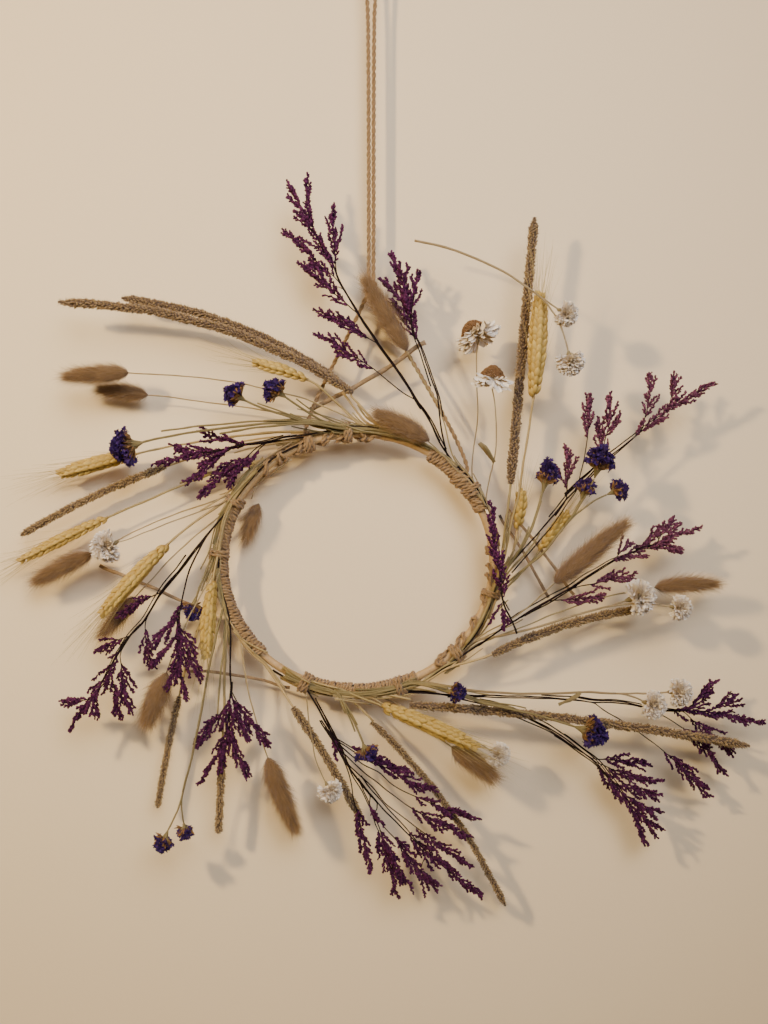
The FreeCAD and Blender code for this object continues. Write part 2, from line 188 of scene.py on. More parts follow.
def hairs(build, roots, directions, bends, sizes, widths, tints, part, steps=3):
    """Thin tapering ribbons, curved from a direction towards a bend."""
    count = len(roots)
    share = np.linspace(0.0, 1.0, steps + 1)[None, :, None]
    line = (roots[:, None, :] + directions[:, None, :] * sizes[:, None, None] * share
            + bends[:, None, :] * sizes[:, None, None] * share ** 2)
    across = unit(np.cross(directions, rng.normal(size=(count, 3))))
    width = widths[:, None, None] * (1.0 - 0.75 * share[:, :-1]) * 0.5
    left = line[:, :-1] - across[:, None, :] * width
    right = line[:, :-1] + across[:, None, :] * width
    points = np.concatenate([left, right, line[:, -1:]], axis=1)
    each = 2 * steps + 1
    base = np.arange(count)[:, None] * each
    quads = [np.concatenate([base + i, base + steps + i, base + steps + i + 1, base + i + 1], axis=1)
             for i in range(steps - 1)]
    ends = np.concatenate([base + steps - 1, base + 2 * steps - 1, base + 2 * steps], axis=1)
    level = np.concatenate([share[0, :-1, 0], share[0, :-1, 0], [1.0]])
    marks = np.empty((count, each, 3))
    marks[:, :, 0] = np.asarray(tints)[:, None]
    marks[:, :, 1] = level
    marks[:, :, 2] = part
    build.add(points.reshape(-1, 3), marks.reshape(-1, 3),
              np.concatenate(quads) if quads else (), ends)


def lathe(profile, sides):
    """A small template round +Z from (height, radius) rows; its first and last rows are points."""
    rows = profile[1:-1]
    turn = np.linspace(0.0, 2.0 * math.pi, sides, endpoint=False)
    points = [(0.0, 0.0, profile[0][0])]
    for height, radius in rows:
        points += [(radius * math.cos(a), radius * math.sin(a), height) for a in turn]
    points.append((0.0, 0.0, profile[-1][0]))
    last = len(points) - 1
    triangles = [(0, 1 + (i + 1) % sides, 1 + i) for i in range(sides)]
    top = 1 + (len(rows) - 1) * sides
    triangles += [(last, top + i, top + (i + 1) % sides) for i in range(sides)]
    quads = []
    for row in range(len(rows) - 1):
        first = 1 + row * sides
        quads += [(first + i, first + (i + 1) % sides, first + sides + (i + 1) % sides, first + sides + i)
                  for i in range(sides)]
    points = np.array(points)
    return points, points[:, 2] / profile[-1][0], quads, triangles


def sheet_template(columns, rows, width_at, lift_at):
    """A thin petal along +Z: its half width and its lift off the plane are functions."""
    across = np.linspace(-1.0, 1.0, columns)
    up = np.linspace(0.0, 1.0, rows)
    points = [(x * width_at(z), lift_at(x, z), z) for z in up for x in across]
    quads = [(r * columns + c, r * columns + c + 1, (r + 1) * columns + c + 1, (r + 1) * columns + c)
             for r in range(rows - 1) for c in range(columns - 1)]
    return np.array(points), np.repeat(up, columns), quads, []


def stamp(build, template, places, axes, sides, sizes, tints, part):
    """Copies of a template: its +Z goes along axes and its +X nearly along sides. sizes holds
    a width, a depth and a length for each copy."""
    points, level, quads, triangles = template
    count = len(places)
    if not count:
        return
    up = unit(np.asarray(axes, float))
    right = np.asarray(sides, float)
    right = unit(right - up * np.sum(right * up, axis=1, keepdims=True))
    front = np.cross(up, right)
    sizes = np.broadcast_to(sizes, (count, 3))
    basis = np.stack([right * sizes[:, :1], front * sizes[:, 1:2], up * sizes[:, 2:]], axis=1)
    placed = np.einsum("pk,nkj->npj", points, basis) + np.asarray(places)[:, None, :]
    each = len(points)
    base = (np.arange(count) * each)[:, None, None]
    marks = np.empty((count, each, 3))
    marks[:, :, 0] = np.broadcast_to(tints, (count,))[:, None]
    marks[:, :, 1] = level[None, :]
    marks[:, :, 2] = part
    many_quads = (base + np.asarray(quads)[None]).reshape(-1, 4) if len(quads) else ()
    many_triangles = (base + np.asarray(triangles)[None]).reshape(-1, 3) if len(triangles) else ()
    build.add(placed.reshape(-1, 3), marks.reshape(-1, 3), many_quads, many_triangles)


def piece(name, build, material, nodes, body="wreath"):
    """One finished piece that stands for its CAD nodes."""
    points = np.concatenate(build.points).astype(np.float32)
    marks = np.ones((len(points), 4), np.float32)
    marks[:, :3] = np.concatenate(build.marks)
    quads = np.concatenate(build.quads) if build.quads else np.zeros((0, 4), int)
    triangles = np.concatenate(build.triangles) if build.triangles else np.zeros((0, 3), int)
    mesh = bpy.data.meshes.new(name)
    mesh.vertices.add(len(points))
    mesh.vertices.foreach_set("co", points.ravel())
    corners = np.concatenate([quads.ravel(), triangles.ravel()]).astype(np.int32)
    mesh.loops.add(len(corners))
    mesh.loops.foreach_set("vertex_index", corners)
    starts = np.concatenate([np.arange(len(quads)) * 4, len(quads) * 4 + np.arange(len(triangles)) * 3])
    mesh.polygons.add(len(starts))
    mesh.polygons.foreach_set("loop_start", starts.astype(np.int32))
    mesh.polygons.foreach_set("use_smooth", np.ones(len(starts), bool))
    mesh.update(calc_edges=True)
    layer = mesh.attributes.new("mark", "FLOAT_COLOR", "POINT")
    layer.data.foreach_set("color", marks.ravel())
    mesh.materials.append(material)
    made = bpy.data.objects.new(name, mesh)
    bpy.context.scene.collection.objects.link(made)
    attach(made, body)
    if nodes:
        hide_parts(*nodes)
    return made


# ---- centrelines of the CAD stems ---------------------------------------------------------
WELD = 1e-5                 # vertices closer than this are one
FOOT_REACH = 0.0026         # the ring of vertices at a stem's foot is within this
BRANCH_NEAR = 0.0019        # a twig starts where its line comes this close to another
BRANCH_CLEAR = 0.0012       # a twig's own line is kept from this far off the other
TIP_APART = 0.006           # tips nearer than this are one tip
STEM_STEP = 0.002           # between the points of a stem's line
HEAD_REACH = 0.035          # a cut across a stem counts vertices within this: whole heads
SPRAY_REACH = 0.005         # the same where branches lie close together
CLUSTER_REACH = 0.004       # the same below a cluster of heads
FREE_STEMS = ("paper_flowers_loose",)       # cut end up in the air, so found another way


def welded(node):
    """A CAD node's vertices and its edges, with shared vertices joined."""
    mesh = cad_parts[node].data
    raw = np.zeros(len(mesh.vertices) * 3)
    mesh.vertices.foreach_get("co", raw)
    keys = np.round(raw.reshape(-1, 3) / WELD).astype(np.int64)
    unique, index = np.unique(keys, axis=0, return_inverse=True)
    index = index.ravel()
    edges = np.zeros(len(mesh.edges) * 2, np.int32)
    mesh.edges.foreach_get("vertices", edges)
    edges = np.unique(np.sort(index[edges.reshape(-1, 2)], axis=1), axis=0)
    edges = edges[edges[:, 0] != edges[:, 1]]
    return unique * WELD, edges


def solids_of(node):
    """(points, edges, neighbours) of each separate solid of a CAD node."""
    points, edges = welded(node)
    near = [[] for _ in points]
    for a, b in edges:
        near[a].append(int(b))
        near[b].append(int(a))
    left = set(range(len(points)))
    found = []
    while left:
        group = [left.pop()]
        for vertex in group:
            for other in near[vertex]:
                if other in left:
                    left.remove(other)
                    group.append(other)
        group = sorted(group)
        place = {vertex: i for i, vertex in enumerate(group)}
        own_edges = np.array([(place[int(a)], place[int(b)]) for a, b in edges if int(a) in place])
        neighbours = [[place[other] for other in near[vertex]] for vertex in group]
        found.append((points[group], own_edges, neighbours))
    return sorted(found, key=lambda solid: tuple(solid[0].mean(axis=0)))


def foot_vertex(points, free):
    """The vertex at a stem's foot: every stem runs counterclockwise round the hoop from it."""
    if free:
        return int(np.argmax(points[:, 2]))
    flat = points[:, [0, 2]] - np.array([HOOP_CENTRE.x, HOOP_CENTRE.z])
    middle = flat.mean(axis=0)
    turn = np.arctan2(middle[0] * flat[:, 1] - middle[1] * flat[:, 0], flat @ middle)
    return int(np.argmin(turn))


def walk(points, neighbours, foot):
    """The distance over the surface from the foot, and the vertex each was reached from."""
    distance = np.full(len(points), np.inf)
    came_from = [-1] * len(points)
    queue = []
    for i in np.nonzero(np.linalg.norm(points - points[foot], axis=1) < FOOT_REACH)[0]:
        distance[i] = 0.0
        queue.append((0.0, int(i)))
    heapq.heapify(queue)
    while queue:
        far, vertex = heapq.heappop(queue)
        if far > distance[vertex]:
            continue
        for other in neighbours[vertex]:
            reach = far + float(np.linalg.norm(points[vertex] - points[other]))
            if reach < distance[other]:
                distance[other] = reach
                came_from[other] = vertex
                heapq.heappush(queue, (reach, other))
    return distance, came_from


def centred(line, points, edges, reach):
    """Moves a line from the surface of a stem to its middle, and measures the stem there."""
    tangent = unit(np.gradient(line, axis=0))
    first, second = points[edges[:, 0]], points[edges[:, 1]]
    middle = line.copy()
    radii = np.zeros(len(line))
    for i in range(len(line)):
        start = (first - line[i]) @ tangent[i]
        end = (second - line[i]) @ tangent[i]
        crossing = (start * end <= 0.0) & (start != end)
        share = start[crossing] / (start[crossing] - end[crossing])
        cut = first[crossing] + (second[crossing] - first[crossing]) * share[:, None]
        cut = cut[np.linalg.norm(cut - line[i], axis=1) < reach]
        if len(cut) > 2:
            middle[i] = (cut.min(axis=0) + cut.max(axis=0)) / 2.0
            radii[i] = np.linalg.norm(cut - middle[i], axis=1).max()
    return middle, radii


def stems_of(node, branching=False, reach=HEAD_REACH):
    """For each solid of a node, its branches as (centreline, radii), the trunk first."""
    made = []
    for points, edges, neighbours in solids_of(node):
        foot = foot_vertex(points, node in FREE_STEMS)
        distance, came_from = walk(points, neighbours, foot)
        order = np.argsort(-distance)
        tips = [int(order[0])]
        if branching:
            for vertex in order[1:]:
                is_peak = all(distance[other] <= distance[vertex] for other in neighbours[vertex])
                apart = min(np.linalg.norm(points[vertex] - points[tip]) for tip in tips)
                if is_peak and apart > TIP_APART:
                    tips.append(int(vertex))
        branches = []
        drawn = np.zeros((0, 3))
        for tip in tips:
            route = [tip]
            while came_from[route[-1]] >= 0:
                route.append(came_from[route[-1]])
                if len(drawn) and np.linalg.norm(drawn - points[route[-1]], axis=1).min() < BRANCH_NEAR:
                    break
            line = points[route[::-1]]
            if lengths_along(line)[-1] < 2 * BRANCH_NEAR:
                continue
            line = smoothed(resample(line, STEM_STEP), 6)
            line, _ = centred(line, points, edges, reach)
            line = smoothed(line, 4)
            if len(drawn):
                close = np.linalg.norm(drawn[None] - line[:, None], axis=2).min(axis=1)
                clear = np.nonzero(close > BRANCH_CLEAR)[0]
                line = line[max(0, (clear[0] if len(clear) else 0) - 1):]
                nearest = drawn[np.linalg.norm(drawn - line[0], axis=1).argmin()]
                line = np.concatenate([nearest[None], line])
            line = smoothed(resample(line, STEM_STEP), 3)
            _, radii = centred(line, points, edges, reach)
            branches.append((line, radii))
            drawn = np.concatenate([drawn, resample(line, STEM_STEP / 2.0)])
        made.append(branches)
    return made


CAP_AREA = 1.5e-5           # a head ends in a flat face larger than this, in square metres
CAP_ACROSS = 0.03           # and no wider than this
FLAT_WITHIN = 2e-5
SAME_WAY = 0.999            # cosine between two normals of one flat face
FACES_TRIED = 400           # the largest faces are tried first


def end_faces(node):
    """The flat round face that each head of a CAD node ends in: (centre, direction, radius)."""
    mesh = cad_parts[node].data
    count = len(mesh.polygons)
    centres, normals, areas = np.zeros(count * 3), np.zeros(count * 3), np.zeros(count)
    mesh.polygons.foreach_get("center", centres)
    mesh.polygons.foreach_get("normal", normals)
    mesh.polygons.foreach_get("area", areas)
    centres, normals = centres.reshape(-1, 3), normals.reshape(-1, 3)
    left = np.ones(count, bool)
    found = []
    for seed in np.argsort(-areas)[:FACES_TRIED]:
        if not left[seed]:
            continue
        level = (centres - centres[seed]) @ normals[seed]
        flat = left & (np.abs(level) < FLAT_WITHIN) & (normals @ normals[seed] > SAME_WAY)
        near = np.linalg.norm(centres - centres[seed], axis=1) < CAP_ACROSS
        group = flat & near
        left &= ~group
        total = areas[group].sum()
        if total > CAP_AREA:
            middle = (centres[group] * areas[group][:, None]).sum(axis=0) / total
            found.append((middle, normals[seed], math.sqrt(total / math.pi)))
    return sorted(found, key=lambda face: tuple(face[0]))


# ---- materials ----------------------------------------------------------------------------
PART = 0.2                  # parts of a piece are marked 0, 0.2, 0.4 and so on
RELIEF_DEPTH = 0.0004


def new_material(name):
    made = bpy.data.materials.new(name)
    made.use_nodes = True
    tree = made.node_tree
    tree.nodes.clear()
    output = tree.nodes.new("ShaderNodeOutputMaterial")
    shader = tree.nodes.new("ShaderNodeBsdfPrincipled")
    tree.links.new(shader.outputs["BSDF"], output.inputs["Surface"])
    return made, tree, shader


def math_node(tree, operation, first, second):
    node = tree.nodes.new("ShaderNodeMath")
    node.operation = operation
    for socket, value in zip(node.inputs, (first, second)):
        if isinstance(value, (int, float)):
            socket.default_value = value
        else:
            tree.links.new(value, socket)
    return node.outputs["Value"]


def mix_colour(tree, factor, first, second, blend="MIX"):
    node = tree.nodes.new("ShaderNodeMix")
    node.data_type = "RGBA"
    node.blend_type = blend
    for socket, value in ((node.inputs["Factor"], factor), (node.inputs[6], first), (node.inputs[7], second)):
        if isinstance(value, (int, float)):
            socket.default_value = value
        elif isinstance(value, tuple):
            socket.default_value = (*value, 1.0)
        else:
            tree.links.new(value, socket)
    return node.outputs[2]


def noise(tree, scale, detail=4.0, stretch=(1.0, 1.0, 1.0)):
    place = tree.nodes.new("ShaderNodeTexCoord")
    mapping = tree.nodes.new("ShaderNodeMapping")
    mapping.inputs["Scale"].default_value = stretch
    node = tree.nodes.new("ShaderNodeTexNoise")
    node.inputs["Scale"].default_value = scale
    node.inputs["Detail"].default_value = detail
    tree.links.new(place.outputs["Object"], mapping.inputs["Vector"])
    tree.links.new(mapping.outputs["Vector"], node.inputs["Vector"])
    return node.outputs["Fac"]


def bump(tree, shader, height, strength, distance):
    node = tree.nodes.new("ShaderNodeBump")
    node.inputs["Strength"].default_value = strength
    node.inputs["Distance"].default_value = distance
    tree.links.new(height, node.inputs["Height"])
    tree.links.new(node.outputs["Normal"], shader.inputs["Normal"])


def plant_material(name, parts, roughness, sheen=0.0, grain=900.0, unevenness=0.35, relief=0.3, gloss=0.3):
    """Each part runs from one colour to another along itself, with its own tint and spots.
    parts holds (start colour, end colour, other colour that some of them have)."""
    made, tree, shader = new_material(name)
    mark = tree.nodes.new("ShaderNodeAttribute")
    mark.attribute_name = "mark"
    split = tree.nodes.new("ShaderNodeSeparateColor")
    tree.links.new(mark.outputs["Color"], split.inputs["Color"])
    tint, along, part = split.outputs["Red"], split.outputs["Green"], split.outputs["Blue"]
    colour = None
    for index, (start, end, other) in enumerate(parts):
        own = mix_colour(tree, along, start, end)
        own = mix_colour(tree, math_node(tree, "MULTIPLY", tint, 0.8), own, other)
        if colour is None:
            colour = own
        else:
            chosen = math_node(tree, "GREATER_THAN", part, index * PART - PART / 2.0)
            colour = mix_colour(tree, chosen, colour, own)
    spots = noise(tree, grain)
    shade = math_node(tree, "ADD", math_node(tree, "MULTIPLY", spots, 2.0 * unevenness), 1.0 - unevenness)
    grey = tree.nodes.new("ShaderNodeCombineColor")
    for channel in ("Red", "Green", "Blue"):
        tree.links.new(shade, grey.inputs[channel])
    colour = mix_colour(tree, 1.0, colour, grey.outputs["Color"], "MULTIPLY")
    tree.links.new(colour, shader.inputs["Base Color"])
    shader.inputs["Roughness"].default_value = roughness
    shader.inputs["Specular IOR Level"].default_value = gloss
    shader.inputs["Sheen Weight"].default_value = sheen
    shader.inputs["Sheen Roughness"].default_value = 0.5
    bump(tree, shader, spots, relief, RELIEF_DEPTH)
    return made


STRAW = (0.32, 0.20, 0.06)
STRAW_PALE = (0.52, 0.35, 0.13)
STRAW_GREEN = (0.22, 0.17, 0.05)

twine_look = plant_material("twine_look", [
    ((0.26, 0.148, 0.050), (0.26, 0.148, 0.050), (0.38, 0.232, 0.085)),
    ((0.38, 0.24, 0.095), (0.48, 0.325, 0.145), (0.26, 0.15, 0.052)),
], 0.85, sheen=0.25, grain=1500.0, relief=0.6)
cane_look = plant_material("cane_look", [
    ((0.48, 0.30, 0.115), (0.48, 0.30, 0.115), (0.38, 0.23, 0.085)),
    ((0.36, 0.21, 0.08), (0.36, 0.21, 0.08), (0.30, 0.17, 0.06)),
], 0.5, grain=400.0)
fluff_look = plant_material("fluff_look", [
    (STRAW_PALE, STRAW, STRAW_GREEN),
    # the tail's core is painted dark brown: painted shade inside the fluff
    ((0.16, 0.085, 0.026), (0.18, 0.10, 0.03), (0.13, 0.07, 0.022)),
    # the hairs run from dark roots to pale tips: painted shade deep in the fluff
    ((0.13, 0.062, 0.016), (0.50, 0.295, 0.100), (0.21, 0.105, 0.029)),
], 0.8, sheen=0.4, unevenness=0.2)
grain_look = plant_material("grain_look", [
    (STRAW, STRAW_PALE, STRAW_GREEN),
    ((0.26, 0.145, 0.025), (0.66, 0.45, 0.10), (0.40, 0.245, 0.045)),
    ((0.56, 0.40, 0.13), (0.66, 0.50, 0.20), (0.42, 0.28, 0.08)),
], 0.55, grain=1200.0)
spike_look = plant_material("spike_look", [
    (STRAW, STRAW_PALE, STRAW_GREEN),
    # the spike's core is painted near black: painted shade between the spikelets
    ((0.07, 0.04, 0.02), (0.07, 0.04, 0.02), (0.12, 0.07, 0.03)),
    # the spikelets run from near-black roots to brown tips: painted shade deep between them
    ((0.075, 0.042, 0.020), (0.25, 0.155, 0.072), (0.42, 0.27, 0.082)),
    ((0.34, 0.22, 0.095), (0.60, 0.43, 0.21), (0.30, 0.19, 0.075)),
], 0.75, sheen=0.15, grain=1500.0)
LAVENDER_STEM = ((0.010, 0.006, 0.005), (0.014, 0.006, 0.008), (0.022, 0.012, 0.007))
LAVENDER_TWIG = ((0.008, 0.003, 0.004), (0.016, 0.004, 0.009), (0.012, 0.004, 0.008))
lavender_look = plant_material("lavender_look", [
    LAVENDER_STEM, LAVENDER_TWIG,
    ((0.008, 0.002, 0.005), (0.170, 0.036, 0.100), (0.022, 0.005, 0.018)),
], 0.75, grain=1800.0, gloss=0.08)
pink_lavender_look = plant_material("pink_lavender_look", [
    LAVENDER_STEM, LAVENDER_TWIG,
    ((0.014, 0.004, 0.007), (0.280, 0.085, 0.120), (0.050, 0.012, 0.028)),
], 0.75, grain=1800.0, gloss=0.08)
statice_look = plant_material("statice_look", [
    ((0.22, 0.16, 0.05), (0.26, 0.19, 0.07), (0.16, 0.12, 0.04)),
    ((0.11, 0.055, 0.018), (0.42, 0.20, 0.055), (0.10, 0.05, 0.016)),
    ((0.035, 0.012, 0.035), (0.060, 0.021, 0.135), (0.018, 0.005, 0.032)),
], 0.7, grain=1600.0)
paper_look = plant_material("paper_look", [
    ((0.30, 0.21, 0.09), (0.36, 0.26, 0.12), (0.22, 0.15, 0.06)),
    ((0.74, 0.61, 0.42), (0.90, 0.80, 0.62), (0.82, 0.69, 0.48)),
    ((0.09, 0.040, 0.012), (0.25, 0.125, 0.040), (0.15, 0.070, 0.022)),
    ((0.26, 0.20, 0.08), (0.30, 0.22, 0.09), (0.18, 0.13, 0.05)),
], 0.7, grain=1300.0, unevenness=0.15)
stalk_look = plant_material("stalk_look", [
    ((0.25, 0.15, 0.07), (0.20, 0.12, 0.05), (0.33, 0.22, 0.10)),
    ((0.05, 0.03, 0.02), (0.05, 0.03, 0.02), (0.08, 0.05, 0.03)),
], 0.75, grain=700.0)


# ---- camera -------------------------------------------------------------------------------
camera_data = bpy.data.cameras.new("camera")
camera_data.lens = LENS
camera_data.sensor_width = 36.0
camera = bpy.data.objects.new("camera", camera_data)
camera.location = CAMERA_AT
camera.rotation_euler = (math.pi / 2.0, 0.0, 0.0)
bpy.context.scene.collection.objects.link(camera)
bpy.context.scene.camera = camera


# ---- twine: two plies laid round a line read from the cord's spline -------------------------
PLY_RADIUS = 0.00092        # of one ply
PLY_OFFSET = 0.00078        # of a ply's centre from the twine's
PLY_PITCH = 0.0105          # length of one full twist
TWINE_STEP = 0.0008
FUZZ_PER_METRE = 5200.0
FUZZ_ROOT = 0.0012          # from the twine's centre
FUZZ_LENGTH = (0.001, 0.0032)
FUZZ_WIDTH = 0.00011


def cord_line(name, route):
    """The centreline of a cord: a NURBS through its route's points, read back as points."""
    curve = bpy.data.curves.new(name, "CURVE")
    curve.dimensions = "3D"
    curve.resolution_u = 48
    spline = curve.splines.new("NURBS")
    spline.points.add(len(route) - 1)
    for point, place in zip(spline.points, route):
        point.co = (*place, 1.0)
    spline.order_u = 3
    spline.use_endpoint_u = True
    holder = bpy.data.objects.new(name, curve)
    bpy.context.scene.collection.objects.link(holder)
    bpy.context.view_layer.update()
    evaluated = holder.evaluated_get(bpy.context.evaluated_depsgraph_get())
    mesh = bpy.data.meshes.new_from_object(evaluated)
    line = np.array([tuple(vertex.co) for vertex in mesh.vertices])
    bpy.data.objects.remove(holder)
    bpy.data.meshes.remove(mesh)
    bpy.data.curves.remove(curve)
    return line


def add_twine(build, line, step=TWINE_STEP, radius=1.0, fuzz=1.0, sides=7):
    """Two twisted plies along a line, with loose fibres standing off them."""
    line = resample(line, step)
    along = lengths_along(line)
    tangent, side, up = frames(line)
    start = rng.uniform(0.0, 2.0 * math.pi)
    for ply in range(2):
        turn = start + math.pi * ply + 2.0 * math.pi * along / PLY_PITCH
        wobble = 1.0 + 0.10 * np.sin(along * 900.0 + ply) + rng.normal(0.0, 0.03, len(along))
        centre = line + in_circle(side, up, turn) * PLY_OFFSET * radius
        tube(build, centre, PLY_RADIUS * radius * wobble, sides, rng.uniform(0.0, 0.5), 0.0, closed=True)
    count = int(along[-1] * FUZZ_PER_METRE * fuzz)
    if count:
        at = rng.integers(1, len(line) - 1, count)
        turn = rng.uniform(0.0, 2.0 * math.pi, count)
        out = in_circle(side[at], up[at], turn)
        roots = line[at] + out * FUZZ_ROOT * radius
        way = unit(out * rng.uniform(0.15, 0.6, count)[:, None]
                   + tangent[at] * rng.choice([-1.0, 1.0], count)[:, None])
        hairs(build, roots, way, out * 0.25, rng.uniform(*FUZZ_LENGTH, count),
              np.full(count, FUZZ_WIDTH), rng.uniform(0.0, 1.0, count), PART, steps=2)


for name, route, length, body in (
    ("hanging_loop", LOOP_ROUTE, LOOP_LENGTH, "hanging_cord"),
    ("bridle_leg_left", LEFT_LEG, LEFT_LENGTH, "wreath"),
    ("bridle_leg_right", RIGHT_LEG, RIGHT_LENGTH, "wreath"),
):
    line = cord_line(name + "_line", route)
    build = Build()
    add_twine(build, line)
    made = piece(name + "_twine", build, twine_look, [name], body)

# ---- knot ---------------------------------------------------------------------------------
def knot_line(radius, height, wraps, lean):
    """A band of turns round the knot, tilted, as one wandering line."""
    count = int(wraps * 28)
    turn = np.linspace(0.0, 2.0 * math.pi * wraps, count)
    rise = np.linspace(-height, height, count)
    swell = np.sqrt(np.maximum(1.0 - (rise / (height * 2.2)) ** 2, 0.1))
    points = np.stack([radius * swell * np.cos(turn), radius * swell * np.sin(turn), rise], axis=1)
    tilt = np.array(Matrix.Rotation(lean, 3, "Y"))
    return points @ tilt.T + np.array(KNOT_CENTRE)


build = Build()
add_twine(build, knot_line(0.0030, 0.0030, 2.6, 0.45), radius=0.95)
add_twine(build, knot_line(0.0026, 0.0022, 1.5, -0.7), radius=0.95)
for side in (-1.0, 1.0):
    strand = np.array([(side * 0.0018, 0.0, 0.0056), (side * 0.0016, -0.0004, 0.002),
                       (-side * 0.001, 0.0004, -0.002), (side * 0.0018, -0.0003, -0.0054)])
    add_twine(build, smoothed(resample(strand + np.array(KNOT_CENTRE), TWINE_STEP), 6))
piece("knot_twine", build, twine_look, ["hanging_knot"], "knot")


# ---- hoop ---------------------------------------------------------------------------------
CANE_RADIUS = 0.003
WOUND = ((150.0, 226.0), (250.0, 296.0), (24.0, 58.0))
BANDED = ((84.0, 140.0), (-54.0, 14.0))
TIED = (94.0, 34.0, -14.0, -44.0, -72.0, -112.0, 176.0, 152.0)
HITCHED = (111.0, 41.0)
COIL_RADIUS = 0.0044        # of the twine's own centre about the cane
WOUND_PITCH = 0.0027
BANDED_TURNS = 6
STRAND_APART = 1.5          # degrees between the two strands of a band
GATHER = 0.0062             # stems are drawn in to within this of the cane's centre
GATHER_RUN = 0.05
FREE_FOOT = 0.035           # a foot further off than this isn't tied to the hoop
TAIL_RUN = (14.0, 40.0)     # degrees that a stem's cut end runs back along the cane


def hoop_point(degrees):
    """Points on the oval centreline, and the unit direction away from the hoop's middle."""
    turn = np.radians(np.asarray(degrees, float))
    zero = np.zeros_like(turn)
    place = np.stack([HOOP_HALF_WIDTH * np.cos(turn), zero, HOOP_HALF_HEIGHT * np.sin(turn)], axis=-1)
    outward = np.stack([np.cos(turn) / HOOP_HALF_WIDTH, zero, np.sin(turn) / HOOP_HALF_HEIGHT], axis=-1)
    return place + np.array(HOOP_CENTRE), unit(outward)


def round_hoop(degrees, turn, outward_by, forward_by, shift_out=0.0, shift_forward=0.0):
    """Points about the cane: turn runs from the outside of the hoop to its front."""
    place, outward = hoop_point(degrees)
    out = np.asarray(outward_by * np.cos(turn) + shift_out)[..., None]
    front = np.asarray(forward_by * np.sin(turn) + shift_forward)[..., None]
    return place + outward * out + FRONT * front


def add_coil(build, first, last, turns, outward_by=COIL_RADIUS, forward_by=COIL_RADIUS,
             shift_out=0.0, shift_forward=0.0, radius=1.0, fuzz=0.4, phase=0.0):
    """Twine wound round the cane from one angle to another."""
    count = int(turns * 30)
    share = np.linspace(0.0, 1.0, count)
    jitter = smoothed(rng.normal(0.0, 0.5, (count, 1)), 12)[:, 0] * (last - first) / max(turns, 1.0) * 0.7
    degrees = first + (last - first) * share + jitter
    squeeze = 1.0 + smoothed(rng.normal(0.0, 0.08, (count, 1)), 10)[:, 0]
    line = round_hoop(degrees, share * turns * 2.0 * math.pi + phase,
                      outward_by * squeeze, forward_by * squeeze, shift_out, shift_forward)
    add_twine(build, line, 0.001, radius, fuzz, sides=6)


CANE_NODES = (26.0, 78.0, 121.0, 165.0, 212.0, 248.0, 297.0, 344.0)     # the cane's own knots
NODE_SWELL = 0.14
NODE_WIDTH = 1.2            # degrees
NODE_RING = 0.00022         # thickness of the ridge at a node
NODE_RING_AT = 0.00335      # and how far it lies from the cane's centre
WANDER = 0.0004             # how far the cane strays from its oval
TIE_RADIUS = 0.0068
TIE_SPAN = 1.8              # degrees to each side of its middle
TIE_TURNS = 2.6
TIE_SHIFT = (0.0012, 0.0016)    # ties reach out and forward, round the stems
HITCH_RADIUS = 0.0062
HITCH_SPAN = 2.2
HITCH_TURNS = 3.0
BAND_RADIUS = 0.0046

build = Build()
degrees = np.linspace(0.0, 360.0, 361)
line, outward = hoop_point(degrees)
wander = np.interp(degrees, np.linspace(0.0, 360.0, 13), np.append(rng.normal(0.0, WANDER, 12), 0.0))
line = line + outward * wander[:, None]
swell = np.ones(len(degrees))
for node_at in CANE_NODES:
    swell += NODE_SWELL * np.exp(-((degrees - node_at) / NODE_WIDTH) ** 2)
line[-1] = line[0]
tube(build, line, CANE_RADIUS * swell, 18, 0.2, 0.0)
for node_at in CANE_NODES:
    ring = round_hoop(np.full(19, node_at), np.linspace(0.0, 2.0 * math.pi, 19),
                      NODE_RING_AT, NODE_RING_AT)
    tube(build, ring, NODE_RING, 5, 0.3, PART)
piece("cane_ring", build, cane_look, ["hoop_cane"])

build = Build()
for first, last in WOUND:
    around = math.radians(last - first) * (HOOP_HALF_WIDTH + HOOP_HALF_HEIGHT) / 2.0
    add_coil(build, first, last, around / WOUND_PITCH, COIL_RADIUS, COIL_RADIUS + 0.0006)
piece("wound_twine", build, twine_look, ["hoop_windings"])

build = Build()
for first, last in BANDED:
    for strand in range(2):
        add_coil(build, first + strand * STRAND_APART, last + strand * STRAND_APART, BANDED_TURNS,
                 BAND_RADIUS, BAND_RADIUS, radius=1.05, fuzz=0.8, phase=1.3)
piece("spaced_twine", build, twine_look, ["hoop_bands"])

build = Build()
for degrees in TIED:
    add_coil(build, degrees - TIE_SPAN, degrees + TIE_SPAN, TIE_TURNS, TIE_RADIUS, TIE_RADIUS,
             *TIE_SHIFT, 0.85, 0.8, rng.uniform(0.0, 6.0))
piece("bunch_ties_twine", build, twine_look, ["bunch_ties"])

build = Build()
for degrees in HITCHED:
    add_coil(build, degrees - HITCH_SPAN, degrees + HITCH_SPAN, HITCH_TURNS, HITCH_RADIUS, HITCH_RADIUS,
             fuzz=0.8)
piece("hitches_twine", build, twine_look, ["bridle_hitches"])


# ---- stems --------------------------------------------------------------------------------
def gathering(foot):
    """How far a stem's foot has to move to be held against the cane, and where it is held."""
    flat = foot - np.array(HOOP_CENTRE)
    degrees = math.degrees(math.atan2(flat[2] / HOOP_HALF_HEIGHT, flat[0] / HOOP_HALF_WIDTH))
    place, outward = hoop_point(degrees)
    offset = foot - place
    if np.linalg.norm(offset) > FREE_FOOT:
        return None
    wanted = offset * min(1.0, GATHER / np.linalg.norm(offset))
    return wanted - offset, degrees, float(wanted @ outward), float(-wanted[1])


